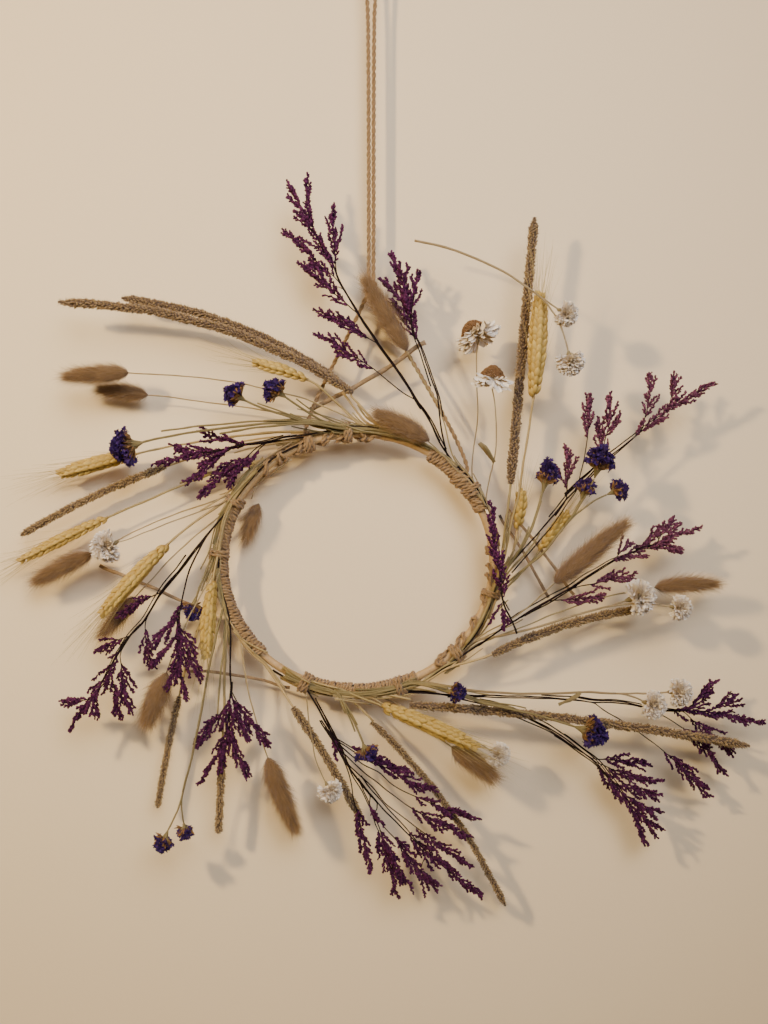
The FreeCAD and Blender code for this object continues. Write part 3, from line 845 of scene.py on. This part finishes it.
def drawn_in(line, foot, shift):
    """Part of a stem, moved with its foot and less so further away."""
    share = np.clip(np.linalg.norm(line - foot, axis=1) / GATHER_RUN, 0.0, 1.0)
    weight = 1.0 - share * share * (3.0 - 2.0 * share)
    return line + shift * weight[:, None]


def gathered(line):
    """A stem drawn in to the hoop at its foot, with its cut end running back along the cane."""
    held = gathering(line[0])
    if held is None:
        return line
    shift, degrees, out, front = held
    drawn = drawn_in(line, line[0], shift)
    back = np.linspace(rng.uniform(*TAIL_RUN), 1.5, 20)
    spread = rng.normal(0.0, 0.0008, 2)
    centre, away = hoop_point(degrees - back)
    tail = centre + away * (out + spread[0]) + FRONT * (front + spread[1])
    return smoothed(resample(np.concatenate([tail, drawn]), STEM_STEP), 8)


# for each plant: its stem's radius at its foot and at its neck, how many straws lie beside it,
# the shares of the stem that they may run along, and their radius
HELD = {
    "bunny_tail": (0.00065, 0.00048, 2, 0.15, 0.5, 0.0006),
    "grain_ear": (0.0011, 0.0008, 3, 0.2, 0.7, 0.0009),
    "grass_spike": (0.0011, 0.0009, 3, 0.3, 0.9, 0.0009),
    "statice": (0.0011, 0.0008, 5, 0.5, 0.97, 0.0009),
}
# the CAD stem's radius, above which its head has begun
HEAD_FROM = {"bunny_tail": 0.0022, "grain_ear": 0.0024, "grass_spike": 0.0020, "statice": 0.0022,
             "paper_flower": 0.0018}


def head_start(radii, stem_radius):
    """The index where a stem widens into its head."""
    thin = np.nonzero(radii[:int(np.argmax(radii))] < stem_radius)[0]
    return int(thin[-1]) if len(thin) else 0


def add_stem(build, line, first_radius, last_radius, sides=6, step=2.0 * STEM_STEP):
    line = resample(line, step)
    along = lengths_along(line)
    wobble = smoothed(rng.normal(0.0, 0.0006, line.shape), 4)
    wobble *= np.minimum(1.0, np.minimum(along, along[-1] - along) / 0.02)[:, None]
    radii = np.linspace(first_radius, last_radius, len(line))
    radii *= 1.0 + rng.normal(0.0, 0.06, len(line))
    tube(build, line + wobble, radii, sides, rng.uniform(0.0, 1.0), 0.0, closed=True)


def add_straws(build, line, count, low, high, radius):
    """Bare stems that were tied in beside a flower's own and cut off short."""
    for _ in range(count):
        reach = int(len(line) * rng.uniform(low, high))
        if reach < 8:
            continue
        lean = rng.normal(0.0, 0.0035, 3) * np.array([1.0, 0.5, 1.0])
        share = np.linspace(0.0, 1.0, reach)[:, None]
        start = rng.normal(0.0, 0.0011, 3)
        straw = line[:reach] + start * (1.0 - share) + lean * share ** 1.5
        add_stem(build, straw, radius * rng.uniform(0.7, 1.2), radius * rng.uniform(0.5, 0.8))


def add_held_stem(build, line, plant):
    """A flower's own stem, tied to the hoop, with cut straws beside it."""
    first, last, count, low, high, radius = HELD[plant]
    own = gathered(line)
    add_stem(build, own, first, last)
    add_straws(build, own, count, low, high, radius)


def spread_round(line, count, low=0.0, high=1.0):
    """Random places along a line, with a random direction square to it at each."""
    tangent, side, up = frames(line)
    at = rng.uniform(low, high, count) * (len(line) - 1)
    index = np.clip(at.astype(int), 0, len(line) - 2)
    share = (at - index)[:, None]
    place = line[index] * (1.0 - share) + line[index + 1] * share
    out = in_circle(side[index], up[index], rng.uniform(0.0, 2.0 * math.pi, count))
    return place, tangent[index], out, at / (len(line) - 1)


# ---- bunny tails --------------------------------------------------------------------------
FLUFF_PER_METRE = 82000.0
LOOSE_HAIRS = 0.14          # share of hairs that also have a longer loose one beside them
HAIR_WIDTH = 0.00017
LOOSE_LENGTH = (0.0060, 0.0105)
LOOSE_WIDTH = 0.00012
TAIL_GIRTH = 0.006          # the tail's mean radius that has this much fluff


def add_bunny_tail(build, line, radii):
    neck = head_start(radii, HEAD_FROM["bunny_tail"])
    add_held_stem(build, line[:neck + 1], "bunny_tail")
    head = smoothed(line[neck:], 10)
    width = np.maximum(radii[neck:], 0.0008)
    length = lengths_along(head)[-1]
    core = width * 0.68 * (1.0 + smoothed(rng.normal(0.0, 0.2, (len(width), 1)), 3)[:, 0])
    core[0], core[-1] = 0.0006, 0.0006
    # the core tube takes the material's dark core colour, painted shade inside the fluff
    tube(build, head, core, 14, 0.4, PART, closed=True)
    count = int(FLUFF_PER_METRE * length * (width.mean() / TAIL_GIRTH))
    place, along, out, share = spread_round(head, count, 0.0, 1.0)
    girth = np.interp(share, np.linspace(0.0, 1.0, len(width)), width)
    roots = place + out * (girth * 0.58)[:, None]
    lean = rng.uniform(0.30, 1.25, count) * (1.0 - 0.6 * share)
    clump = np.sin(share * 61.0 + out @ np.array([5.0, 3.0, 7.0])) * 0.16
    way = unit(along + out * (lean + clump)[:, None] + rng.normal(0.0, 0.13, (count, 3)))
    sizes = rng.uniform(0.45, 1.0, count) ** 1.3 * (0.0080 + 0.0035 * share)
    sizes *= np.where(rng.uniform(0.0, 1.0, count) < 0.08, 1.4, 1.0)
    bend = along * 0.2 + rng.normal(0.0, 0.12, (count, 3))
    tints = np.clip(rng.uniform(0.0, 1.0, count) + clump * 1.5, 0.0, 1.0)
    # the hairs' material darkens them towards their roots, painted shade deep in the fluff
    hairs(build, roots, way, bend, sizes, np.full(count, HAIR_WIDTH), tints, 2 * PART)
    loose = rng.uniform(0.0, 1.0, count) < LOOSE_HAIRS
    astray = unit(along + out * rng.uniform(0.7, 1.8, count)[:, None] + rng.normal(0.0, 0.2, (count, 3)))
    hairs(build, (roots + out * 0.001)[loose], astray[loose], (along * 0.35)[loose],
          rng.uniform(*LOOSE_LENGTH, count)[loose], np.full(loose.sum(), LOOSE_WIDTH),
          rng.uniform(0.0, 0.4, loose.sum()), 2 * PART, steps=2)


# ---- grain ears ---------------------------------------------------------------------------
GRAIN_PITCH = 0.0052
GRAIN_LENGTH = 0.0112
GRAIN_GIRTH = 0.007         # the ear's radius that has grains of this length
AWN_LENGTH = (0.026, 0.050)
AWN_RADII = (0.00016, 0.00005)
RACHIS_RADII = (0.0011, 0.0005)     # of the ear's own axis
AWN_LIMIT = -0.286          # no awn reaches further left than this
grain_seed = lathe([(0.0, 0.0), (0.08, 0.45), (0.28, 0.92), (0.5, 1.0), (0.74, 0.72), (0.9, 0.32),
                    (1.0, 0.0)], 8)


def add_grain_ear(build, line, radii):
    neck = head_start(radii, HEAD_FROM["grain_ear"])
    add_held_stem(build, line[:neck + 2], "grain_ear")
    head = resample(smoothed(line[neck:], 10), 0.001)
    length = lengths_along(head)[-1]
    girth = radii[neck:].max()
    tube(build, head, np.linspace(*RACHIS_RADII, len(head)), 6, 0.4, 0.0)
    tangent, _, _ = frames(head)
    count = int(length / GRAIN_PITCH * 2)
    turn_about = rng.uniform(-0.5, 0.5)
    for i in range(count):
        share = (i + 0.5) / count
        index = int(share * (len(head) - 1))
        axis = tangent[index]
        flat = unit(np.cross(axis, FRONT))
        front = np.cross(axis, flat)
        flat = flat * math.cos(turn_about) + front * math.sin(turn_about)
        front = np.cross(axis, flat)
        side = 1.0 if i % 2 else -1.0
        taper = math.sin(math.pi * (0.12 + 0.80 * share)) ** 0.5
        grain_length = GRAIN_LENGTH * taper * (girth / GRAIN_GIRTH) ** 0.6
        for tip_turn, out_by in ((-1.15, 0.4), (0.0, 1.0), (1.15, 0.4)):
            out = flat * side * math.cos(tip_turn) + front * math.sin(tip_turn)
            place = head[index] + out * girth * 0.22 * taper
            way = unit(axis + out * (0.34 + 0.10 * out_by) * rng.uniform(0.85, 1.15))
            wide = grain_length * rng.uniform(0.23, 0.28)
            stamp(build, grain_seed, [place], [way], [np.cross(axis, out)],
                  [(wide, wide * 0.85, grain_length)], rng.uniform(0.0, 1.0), PART)
            if tip_turn == 0.0 or share > 0.6:
                root = place + way * grain_length * 0.92
                awn_way = unit(axis + out * rng.uniform(0.04, 0.26) + rng.normal(0.0, 0.03, 3))
                awn_length = rng.uniform(*AWN_LENGTH) * (0.6 + 0.4 * share)
                bend = rng.normal(0.0, 0.06, 3)
                if awn_way[0] < 0.0:
                    awn_length = min(awn_length, (AWN_LIMIT - root[0]) / awn_way[0])
                reach = np.linspace(0.0, 1.0, 6)[:, None]
                awn = root + awn_way * awn_length * reach + bend * awn_length * reach ** 2
                tube(build, awn, np.linspace(*AWN_RADII, 6), 3, rng.uniform(0.0, 1.0), 2 * PART)


# ---- grass spikes -------------------------------------------------------------------------
SPIKELETS_PER_METRE = 6200.0
SPIKELET_LENGTH = 0.0026
SPIKE_RADIUS = 0.0034       # the spike that has spikelets of this length
BRISTLE_LENGTH = (0.0020, 0.0042)
BRISTLE_WIDTH = 0.00020
BRISTLE_SHARE = 0.5
GOLDEN_TURN = math.pi * (3.0 - math.sqrt(5.0))
spikelet = lathe([(0.0, 0.0), (0.25, 0.75), (0.6, 1.0), (1.0, 0.0)], 5)


def add_grass_spike(build, line, radii, pale):
    neck = head_start(radii, HEAD_FROM["grass_spike"])
    add_held_stem(build, line[:neck + 2], "grass_spike")
    head = resample(smoothed(line[neck:], 12), 0.001)
    share = np.linspace(0.0, 1.0, len(head))
    width = radii.max() * np.minimum(0.7 + 5.0 * share, 1.0)
    width *= np.clip((1.0 - share) / 0.05, 0.15, 1.0) ** 0.5
    width *= 1.0 + smoothed(rng.normal(0.0, 0.09, (len(head), 1)), 3)[:, 0]
    length = lengths_along(head)[-1]
    # the core tube under the spikelets takes the near-black core colour, painted shade between them
    tube(build, head, width * 0.62, 8, 0.4, PART, closed=True)
    tangent, side, up = frames(head)
    count = int(SPIKELETS_PER_METRE * length)
    share = (np.arange(count) + rng.uniform(0.0, 1.0, count)) / count
    index = np.minimum((share * (len(head) - 1)).astype(int), len(head) - 1)
    turn = np.arange(count) * GOLDEN_TURN + rng.normal(0.0, 0.2, count)
    out = in_circle(side[index], up[index], turn)
    girth = width[index]
    roots = head[index] + out * (girth * 0.50)[:, None]
    way = unit(tangent[index] + out * rng.uniform(0.7, 1.7, count)[:, None]
               + rng.normal(0.0, 0.12, (count, 3)))
    size = rng.uniform(0.7, 1.25, count) * (girth / SPIKE_RADIUS) * SPIKELET_LENGTH
    tints = np.clip(rng.normal(0.2 + 0.6 * pale, 0.25, count), 0.0, 1.0)
    # the spikelets' material darkens them towards their roots, painted shade between them
    stamp(build, spikelet, roots, way, tangent[index], sized(size, 0.30, 0.26), tints, 2 * PART)
    for _ in range(2):
        keep = rng.uniform(0.0, 1.0, count) < BRISTLE_SHARE
        bristle = unit(tangent[index] + out * rng.uniform(1.0, 3.0, count)[:, None]
                       + rng.normal(0.0, 0.15, (count, 3)))
        hairs(build, (roots + out * 0.0008)[keep], bristle[keep], tangent[index][keep] * 0.3,
              (rng.uniform(*BRISTLE_LENGTH, count) * (girth / SPIKE_RADIUS) ** 0.5)[keep],
              np.full(keep.sum(), BRISTLE_WIDTH), rng.uniform(0.0, 1.0, keep.sum()), 3 * PART, steps=2)


# ---- sea lavender -------------------------------------------------------------------------
TWIG_SPRAY = 0.048          # the end of each branch that carries buds
TRUNK_SPRAY = 0.070
CHUNKY_SPRAY = 0.030        # the same for the pinker sprays
BUD_SPACING = 0.00056
BUD_LENGTH = (0.0021, 0.0036)
TWIG_GAP = (0.0018, 0.0042) # between side twigs, along the branch
TWIG_RADII = (0.00032, 0.00016)
SPRAY_START = 0.001
bud = lathe([(0.0, 0.0), (0.25, 0.75), (0.80, 1.0), (1.0, 0.0)], 4)


def add_buds(build, twig, axis, count):
    level = (np.arange(count) + 0.6) / count
    along = lengths_along(twig)
    spot = point_at(twig, along, level * along[-1])
    away = unit(np.cross(axis, rng.normal(size=(count, 3))))
    way = unit(axis + away * rng.uniform(0.25, 0.85, count)[:, None])
    length = rng.uniform(*BUD_LENGTH, count)
    stamp(build, bud, spot, way, rng.normal(size=(count, 3)), sized(length, 0.29, 0.29),
          rng.uniform(0.0, 1.0, count), 2 * PART)


def add_spray(build, line, one_sided, longest):
    """Short bud-covered side twigs along the end of a branch."""
    along = lengths_along(line)
    run = min(longest, along[-1] * 0.85)
    begin = along[-1] - run
    tangent, _, _ = frames(line)
    at = begin + SPRAY_START
    side = 1.0 if one_sided > 0 else -1.0
    while at < along[-1] + 0.0005:
        share = min(1.0, (at - begin) / run)
        place = point_at(line, along, min(at, along[-1]))
        axis = unit(point_at(tangent, along, min(at, along[-1])))
        flat = unit(np.cross(axis, FRONT)) * side
        out = unit(flat + FRONT * rng.normal(0.0, 0.55))
        size = (0.0105 * (1.0 - share) ** 0.6 + 0.0030) * rng.uniform(0.45, 1.2)
        spread = rng.uniform(0.30, 0.70) * (1.0 - 0.5 * share)
        reach = np.linspace(0.0, 1.0, 5)[:, None]
        twig = place + (axis + out * spread) * size * reach + axis * size * 0.25 * reach ** 2
        tube(build, twig, np.linspace(*TWIG_RADII, 5), 4, rng.uniform(0.0, 1.0), PART)
        add_buds(build, twig, unit(twig[-1] - twig[0]), max(3, int(size / BUD_SPACING)))
        at += rng.uniform(*TWIG_GAP)
        if rng.uniform() < 0.6:
            side = -side
    tip = point_at(line, along, np.linspace(begin + run * 0.3, along[-1], 12))
    add_buds(build, tip, unit(tip[-1] - tip[0]), int(run * 0.7 / (2.0 * BUD_SPACING)))


def add_sea_lavender(build, branches, twig_spray):
    """Every branch keeps a stem of its own beside the trunk, from part-way down the trunk up to where the
    branch leaves it.
    """
    trunk = branches[0][0]
    held = gathering(trunk[0])
    lines = [line if held is None else drawn_in(line, trunk[0], held[0]) for line, _ in branches]
    start = gathered(trunk)
    for number, line in enumerate(lines):
        if number == 0:
            add_stem(build, start, 0.00075, 0.00040)
        else:
            joint = int(np.linalg.norm(start - line[0], axis=1).argmin())
            beside = rng.normal(0.0, 0.0020, 3)
            reach = np.sin(np.linspace(0.0, math.pi, joint + 1))[:, None] ** 0.5
            route = np.concatenate([start[:joint + 1] + beside * reach, line[1:]])
            begin = int(joint * rng.uniform(0.45, 0.97))
            add_stem(build, smoothed(route[begin:], 3), 0.00055, 0.00028)
        add_spray(build, smoothed(line, 4), 1.0 if rng.uniform() < 0.6 else -1.0,
                  twig_spray if number else TRUNK_SPRAY)


# ---- statice ------------------------------------------------------------------------------
def calyx_template():
    """A crinkled papery funnel, open at its rim."""
    sides = 10
    rows = ((0.0, 0.10), (0.45, 0.24), (0.80, 0.66), (1.0, 1.10))
    points = []
    for height, radius in rows:
        for i in range(sides):
            turn = 2.0 * math.pi * i / sides
            crinkle = 1.0 + (0.22 if i % 2 else -0.16) * height ** 2
            points.append((radius * crinkle * math.cos(turn), radius * crinkle * math.sin(turn),
                           height + (0.06 if i % 2 else -0.05) * height ** 3))
    quads = [(r * sides + i, r * sides + (i + 1) % sides,
              (r + 1) * sides + (i + 1) % sides, (r + 1) * sides + i)
             for r in range(len(rows) - 1) for i in range(sides)]
    points = np.array(points)
    return points, np.clip(points[:, 2], 0.0, 1.0), quads, []


BRACT_LENGTH = (0.0036, 0.0062)
calyx = calyx_template()
bract = lathe([(0.0, 0.0), (0.1, 0.5), (0.45, 1.0), (0.8, 0.6), (1.0, 0.0)], 6)


def add_statice_head(build, base, axis, length, girth):
    """Short curved branchlets fanned out, with brown bracts and crinkled calyces."""
    count = int(20 + 3400.0 * girth + 700.0 * length)
    across, over = square_to(axis, (0.0, 1.0, 0.3))
    skew = rng.uniform(-0.25, 0.25)
    for i in range(count):
        turn = i * GOLDEN_TURN + rng.normal(0.0, 0.25)
        ring = math.sqrt((i + 0.5) / count)
        out = across * (math.cos(turn) + skew * ring) + over * math.sin(turn)
        depth = (0.48 * ring ** 1.8 + rng.uniform(0.0, 0.10)) * length
        rim = base + axis * (length - depth) + out * (girth - 0.0008) * ring * rng.uniform(0.78, 1.0)
        root = base + axis * length * (0.08 + 0.25 * ring) + out * girth * ring * 0.22
        way = unit(rim - root + rng.normal(0.0, 0.0012, 3))
        reach = float(np.linalg.norm(rim - root))
        tube(build, np.array([base + axis * length * 0.02, root, root + way * reach * 0.5]),
             0.0004, 4, rng.uniform(0.0, 1.0), 0.0)
        for step in range(3):
            slip = unit(way + rng.normal(0.0, 0.28, 3))
            size = rng.uniform(*BRACT_LENGTH)
            spot = root + way * reach * (0.15 + 0.2 * step)
            stamp(build, bract, [spot], [slip], [out], [(size * 0.15, size * 0.11, size)],
                  rng.uniform(0.0, 1.0), PART)
        for _ in range(2):
            lean = unit(way + rng.normal(0.0, 0.30, 3))
            size = (0.0026 + 0.13 * girth) * rng.uniform(0.8, 1.2)
            stamp(build, calyx, [rim - lean * size * 0.8 + rng.normal(0.0, 0.0009, 3)], [lean], [out],
                  [(size * 0.44, size * 0.34, size)], rng.uniform(0.0, 1.0), 2 * PART)


def add_statice(build, line, radii):
    neck = head_start(radii, HEAD_FROM["statice"])
    axis = unit(line[-1] - line[neck])
    length = float(np.linalg.norm(line[-1] - line[neck]))
    add_held_stem(build, np.concatenate([line[:neck + 1], [line[neck] + axis * length * 0.15]]), "statice")
    add_statice_head(build, line[neck], axis, length, radii.max())


FORK_RUN = 0.022            # a cluster's stem divides this far below its first head
STATICE_SHAPE = (0.85, 2.1) # a CAD head's end face and its length, as shares of its radius
PAPER_SHAPE = (0.60, 1.3)


def add_cluster(build, node, add_head, shape):
    """One stem that divides into a twig for each head."""
    cap_share, length_share = shape
    line, _ = stems_of(node, reach=CLUSTER_REACH)[0][0]
    heads = []
    for centre, axis, cap in end_faces(node):
        girth = cap / cap_share
        heads.append((centre - axis * girth * length_share, axis, girth * length_share, girth))
    first = min(int(np.linalg.norm(line - base, axis=1).argmin()) for base, _, _, _ in heads)
    fork = max(4, first - int(FORK_RUN / STEM_STEP))
    add_stem(build, gathered(line[:fork + 1]), 0.0010, 0.0008)
    along = unit(line[fork] - line[fork - 3])
    for base, axis, length, girth in heads:
        gap = float(np.linalg.norm(base - line[fork]))
        share = np.linspace(0.0, 1.0, 12)[:, None]
        bend = line[fork] + along * gap * 0.5
        twig = line[fork] * (1 - share) ** 2 + bend * 2 * share * (1 - share) + base * share ** 2
        add_stem(build, twig, 0.0007, 0.0006, step=STEM_STEP)
        add_head(build, base, axis, length, girth)


# ---- papery white flowers -----------------------------------------------------------------
petal = sheet_template(5, 5, lambda z: 0.5 * math.sin(math.pi * (0.10 + 0.78 * z)) ** 0.8,
                       lambda x, z: 0.20 * x * x - 0.25 * z * z + 0.05 * math.sin(9.0 * x + 7.0 * z))
floret = lathe([(0.0, 0.0), (0.5, 0.7), (0.85, 1.0), (1.0, 0.0)], 5)
DOME = 0.56                 # its radius over the flower's
# rings of bracts: how many, how far they lift towards the tip, length, and where they start
OPEN_BRACTS = ((18, -1.25, 0.70, -0.06), (22, -0.85, 0.85, 0.0),
               (22, -0.50, 0.85, 0.05), (16, -0.15, 0.65, 0.10))


def add_paper_head(build, base, axis, size):
    """Rings of thin ragged white bracts round a dome of brown florets."""
    across, over = square_to(axis, (0.2, 1.0, 0.1))
    for count, lift, length, rise in OPEN_BRACTS:
        turn = np.arange(count) * 2.0 * math.pi / count + rng.uniform(0.0, 6.0)
        turn = turn + rng.normal(0.0, 0.2, count)
        out = in_circle(across, over, turn)
        way = unit(out + axis * (lift + rng.normal(0.0, 0.12, count))[:, None])
        facing = np.cross(way, axis) + rng.normal(0.0, 0.15, (count, 3))
        long = size * length * rng.uniform(0.65, 1.10, count)
        sizes = sized(long, rng.uniform(0.26, 0.46, count), rng.uniform(0.3, 1.2, count))
        stamp(build, petal, base + axis * size * rise + out * size * DOME * 0.6, way, facing, sizes,
              rng.uniform(0.0, 1.0, count), PART)
    count = int(40 + 700 * DOME)
    turn = np.arange(count) * GOLDEN_TURN
    ring = np.sqrt((np.arange(count) + 0.5) / count)
    out = in_circle(across, over, turn)
    way = unit(axis * 1.1 + out * ring[:, None] + rng.normal(0.0, 0.15, (count, 3)))
    place = (base + axis * (size * (0.06 + 0.85 * DOME * (1.0 - ring ** 2)))[:, None]
             + out * (size * DOME * ring)[:, None])
    long = size * rng.uniform(0.10, 0.17, count)
    stamp(build, floret, place, way, out, sized(long, 0.28, 0.28), rng.uniform(0.0, 1.0, count),
          2 * PART)
    stamp(build, bract, [base - axis * size * 0.24], [axis], [across],
          [(size * 0.18, size * 0.18, size * 0.44)], 0.5, 3 * PART)


TUFT_PETALS = 340
TUFT_WRAP = math.radians(118.0)     # how far round from its axis a tuft's petals go


def add_tuft(build, base, axis, size):
    """A dense white tuft: bracts standing out of its middle all over the side it faces."""
    across, over = square_to(axis, (0.2, 1.0, 0.1))
    steps = np.arange(TUFT_PETALS)
    turn = steps * GOLDEN_TURN
    lean = TUFT_WRAP * ((steps + 0.5) / TUFT_PETALS) ** 0.6
    out = (axis * np.cos(lean)[:, None] + across * (np.sin(lean) * np.cos(turn))[:, None]
           + over * (np.sin(lean) * np.sin(turn))[:, None])
    way = unit(out + rng.normal(0.0, 0.16, (TUFT_PETALS, 3)))
    long = size * rng.uniform(0.48, 0.66, TUFT_PETALS)
    sizes = sized(long, rng.uniform(0.26, 0.44, TUFT_PETALS), rng.uniform(0.5, 1.4, TUFT_PETALS))
    stamp(build, petal, base + out * size * 0.36, way, rng.normal(size=(TUFT_PETALS, 3)), sizes,
          rng.uniform(0.0, 1.0, TUFT_PETALS), PART)
    tube(build, base + axis * np.linspace(-0.42, 0.42, 7)[:, None] * size,
         size * 0.36 * np.sin(np.linspace(0.06, 0.94, 7) * math.pi), 10, 0.8, PART, closed=True)
    stamp(build, bract, [base - axis * size * 0.75], [axis], [across],
          [(size * 0.16, size * 0.16, size * 0.6)], 0.5, 3 * PART)


TUFT_SWELL = 1.25           # a tuft's radius over that of its CAD head
DOMED_FROM = 0.0125         # heads of a larger radius have a brown dome


def add_tufted_head(build, base, axis, length, girth):
    add_tuft(build, base + axis * length * 0.5, axis, girth * TUFT_SWELL)


def add_paper_flower(build, line, radii):
    neck = min(head_start(radii, HEAD_FROM["paper_flower"]), len(line) - 3)
    add_stem(build, gathered(line[:neck + 2]), 0.00055, 0.00040)
    axis = unit(line[-1] - line[neck])
    length = float(np.linalg.norm(line[-1] - line[neck]))
    if radii.max() > DOMED_FROM:
        add_paper_head(build, line[neck] + axis * length * 0.5, axis, radii.max() * 1.05)
    else:
        add_tufted_head(build, line[neck], axis, length, radii.max())


# ---- stalks and leaves --------------------------------------------------------------------
def add_cut_stalk(build, line, radii):
    add_stem(build, line, radii.max(), radii.max() * 0.9, sides=8)
    cut_end = resample(line[-3:] + (line[-1] - line[-2]) * 0.02, STEM_STEP / 2.0)
    tube(build, cut_end, radii.max() * 0.93, 8, 0.5, PART, closed=True)


def add_dry_leaf(build, line, radii):
    """Two thin blades that part from one root."""
    axis = unit(line[-1] - line[0])
    size = float(np.linalg.norm(line[-1] - line[0]))
    for turn in (-0.4, 0.5):
        stamp(build, petal, [line[0]], [axis], [np.array([math.sin(turn), -math.cos(turn), 0.2])],
              [(size * 0.32, size * 0.6, size)], rng.uniform(0.0, 1.0), 3 * PART)


# ---- every flower piece -------------------------------------------------------------------
# what a node's name starts with: how one stem is drawn, its look, its piece's ending, its slot
KINDS = {
    "bunny_tail": (add_bunny_tail, fluff_look, "fluff", "bunny_tail_fluff"),
    "grain_ear": (add_grain_ear, grain_look, "grains", "grain_straw"),
    "grass_spike": (add_grass_spike, spike_look, "seeds", "seed_spike"),
    "sea_lavender": (add_sea_lavender, lavender_look, "buds", "sea_lavender"),
    "statice": (add_statice, statice_look, "florets", "statice_petal"),
    "paper_flower": (add_paper_flower, paper_look, "petals", "paper_petal"),
    "cut_stalks": (add_cut_stalk, stalk_look, "bark", "brown_stalk"),
    "dry_leaves": (add_dry_leaf, paper_look, "blades", "dry_leaf"),
}
PINK_LAVENDER = ("sea_lavender_right", "sea_lavender_upper_right")
CLUSTERS = {
    "statice_cluster_left": (add_statice_head, STATICE_SHAPE),
    "statice_cluster_right": (add_statice_head, STATICE_SHAPE),
    "paper_flowers_right": (add_tufted_head, PAPER_SHAPE),
    "paper_flowers_lower_right": (add_tufted_head, PAPER_SHAPE),
    "paper_flowers_loose": (add_tufted_head, PAPER_SHAPE),
}
# how pale each grass spike is, from 0 to 1
PALE_SPIKES = {"grass_spikes_bottom": 0.6, "grass_spike_left_slim": 0.8, "grass_spikes_lower_left": 0.8,
               "grass_spike_right": 0.5, "grass_spike_bottom_right": 0.35, "grass_spike_right_tall": 0.1,
               "grass_spikes_top_left": 0.2}

for node in sorted(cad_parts):
    kind = next((start for start in KINDS if node.startswith(start)), None)
    if kind is None:
        continue
    add, look, ending, slot = KINDS[kind]
    build = Build()
    if node in CLUSTERS:
        add_cluster(build, node, *CLUSTERS[node])
    elif kind == "sea_lavender":
        pink = node in PINK_LAVENDER
        look = pink_lavender_look if pink else look
        for branches in stems_of(node, branching=True, reach=SPRAY_REACH):
            add(build, branches, CHUNKY_SPRAY if pink else TWIG_SPRAY)
    else:
        for branches in stems_of(node):
            line, radii = branches[0]
            more = (PALE_SPIKES[node],) if node in PALE_SPIKES else ()
            add(build, line, radii, *more)
    piece(node + "_" + ending, build, look, [node])


# ---- wall, floor and light ----------------------------------------------------------------
def plaster(name, colour, other):
    """Painted plaster seen from its front only, so that views from behind it stay open."""
    made, tree, shader = new_material(name)
    broad = noise(tree, 1.7, 3.0)
    tree.links.new(mix_colour(tree, broad, colour, other), shader.inputs["Base Color"])
    shader.inputs["Roughness"].default_value = 0.75
    shader.inputs["Specular IOR Level"].default_value = 0.25
    bump(tree, shader, noise(tree, 260.0, 6.0), 0.12, 0.001)
    see_through = tree.nodes.new("ShaderNodeBsdfTransparent")
    side = tree.nodes.new("ShaderNodeNewGeometry")
    choose = tree.nodes.new("ShaderNodeMixShader")
    output = next(node for node in tree.nodes if node.type == "OUTPUT_MATERIAL")
    tree.links.new(side.outputs["Backfacing"], choose.inputs["Fac"])
    tree.links.new(shader.outputs["BSDF"], choose.inputs[1])
    tree.links.new(see_through.outputs["BSDF"], choose.inputs[2])
    tree.links.new(choose.outputs["Shader"], output.inputs["Surface"])
    return made


def stage_plane(name, corners, material):
    mesh = bpy.data.meshes.new(name)
    mesh.from_pydata(corners, [], [(0, 1, 2, 3)])
    mesh.materials.append(material)
    made = bpy.data.objects.new(name, mesh)
    bpy.context.scene.collection.objects.link(made)
    return made


WALL_HALF = 3.0
KEY_AT = (-0.92, -0.98, 0.10)
KEY_POWER = 19.0            # watts
KEY_COLOUR = (1.0, 0.78, 0.46)
FILL_AT = (0.3, -1.35, 0.45)
FILL_POWER = 6.5
FILL_COLOUR = (0.78, 0.80, 1.0)
FILL_SPREAD = 60.0          # degrees
SKY_COLOUR = (0.80, 0.86, 1.0, 1.0)
SKY_STRENGTH = 0.07
wall_look = plaster("wall_look", (0.89, 0.69, 0.39), (0.86, 0.66, 0.37))
floor_look = plaster("floor_look", (0.70, 0.66, 0.60), (0.66, 0.62, 0.56))
stage_plane("wall", [(-WALL_HALF, WALL_Y, FLOOR_Z), (WALL_HALF, WALL_Y, FLOOR_Z),
                     (WALL_HALF, WALL_Y, WALL_HALF), (-WALL_HALF, WALL_Y, WALL_HALF)], wall_look)
stage_plane("floor", [(-WALL_HALF, -WALL_HALF, FLOOR_Z), (WALL_HALF, -WALL_HALF, FLOOR_Z),
                      (WALL_HALF, WALL_Y, FLOOR_Z), (-WALL_HALF, WALL_Y, FLOOR_Z)], floor_look)


def area_light(name, place, aim, size, power, colour, spread=math.pi):
    data = bpy.data.lights.new(name, "AREA")
    data.spread = spread
    data.shape = "DISK"
    data.size = size
    data.energy = power
    data.color = colour
    made = bpy.data.objects.new(name, data)
    made.location = place
    made.rotation_euler = (Vector(aim) - Vector(place)).to_track_quat("-Z", "Y").to_euler()
    bpy.context.scene.collection.objects.link(made)


# a small warm lamp at the left makes the shadows, and a wide cool one fills them
area_light("key", KEY_AT, (0.0, 0.0, -0.42), 0.11, KEY_POWER, KEY_COLOUR)
area_light("fill", FILL_AT, (0.0, 0.0, -0.18), 1.3, FILL_POWER, FILL_COLOUR, math.radians(FILL_SPREAD))
world = bpy.data.worlds.new("world")
world.use_nodes = True
world.node_tree.nodes["Background"].inputs["Color"].default_value = SKY_COLOUR
world.node_tree.nodes["Background"].inputs["Strength"].default_value = SKY_STRENGTH
bpy.context.scene.world = world
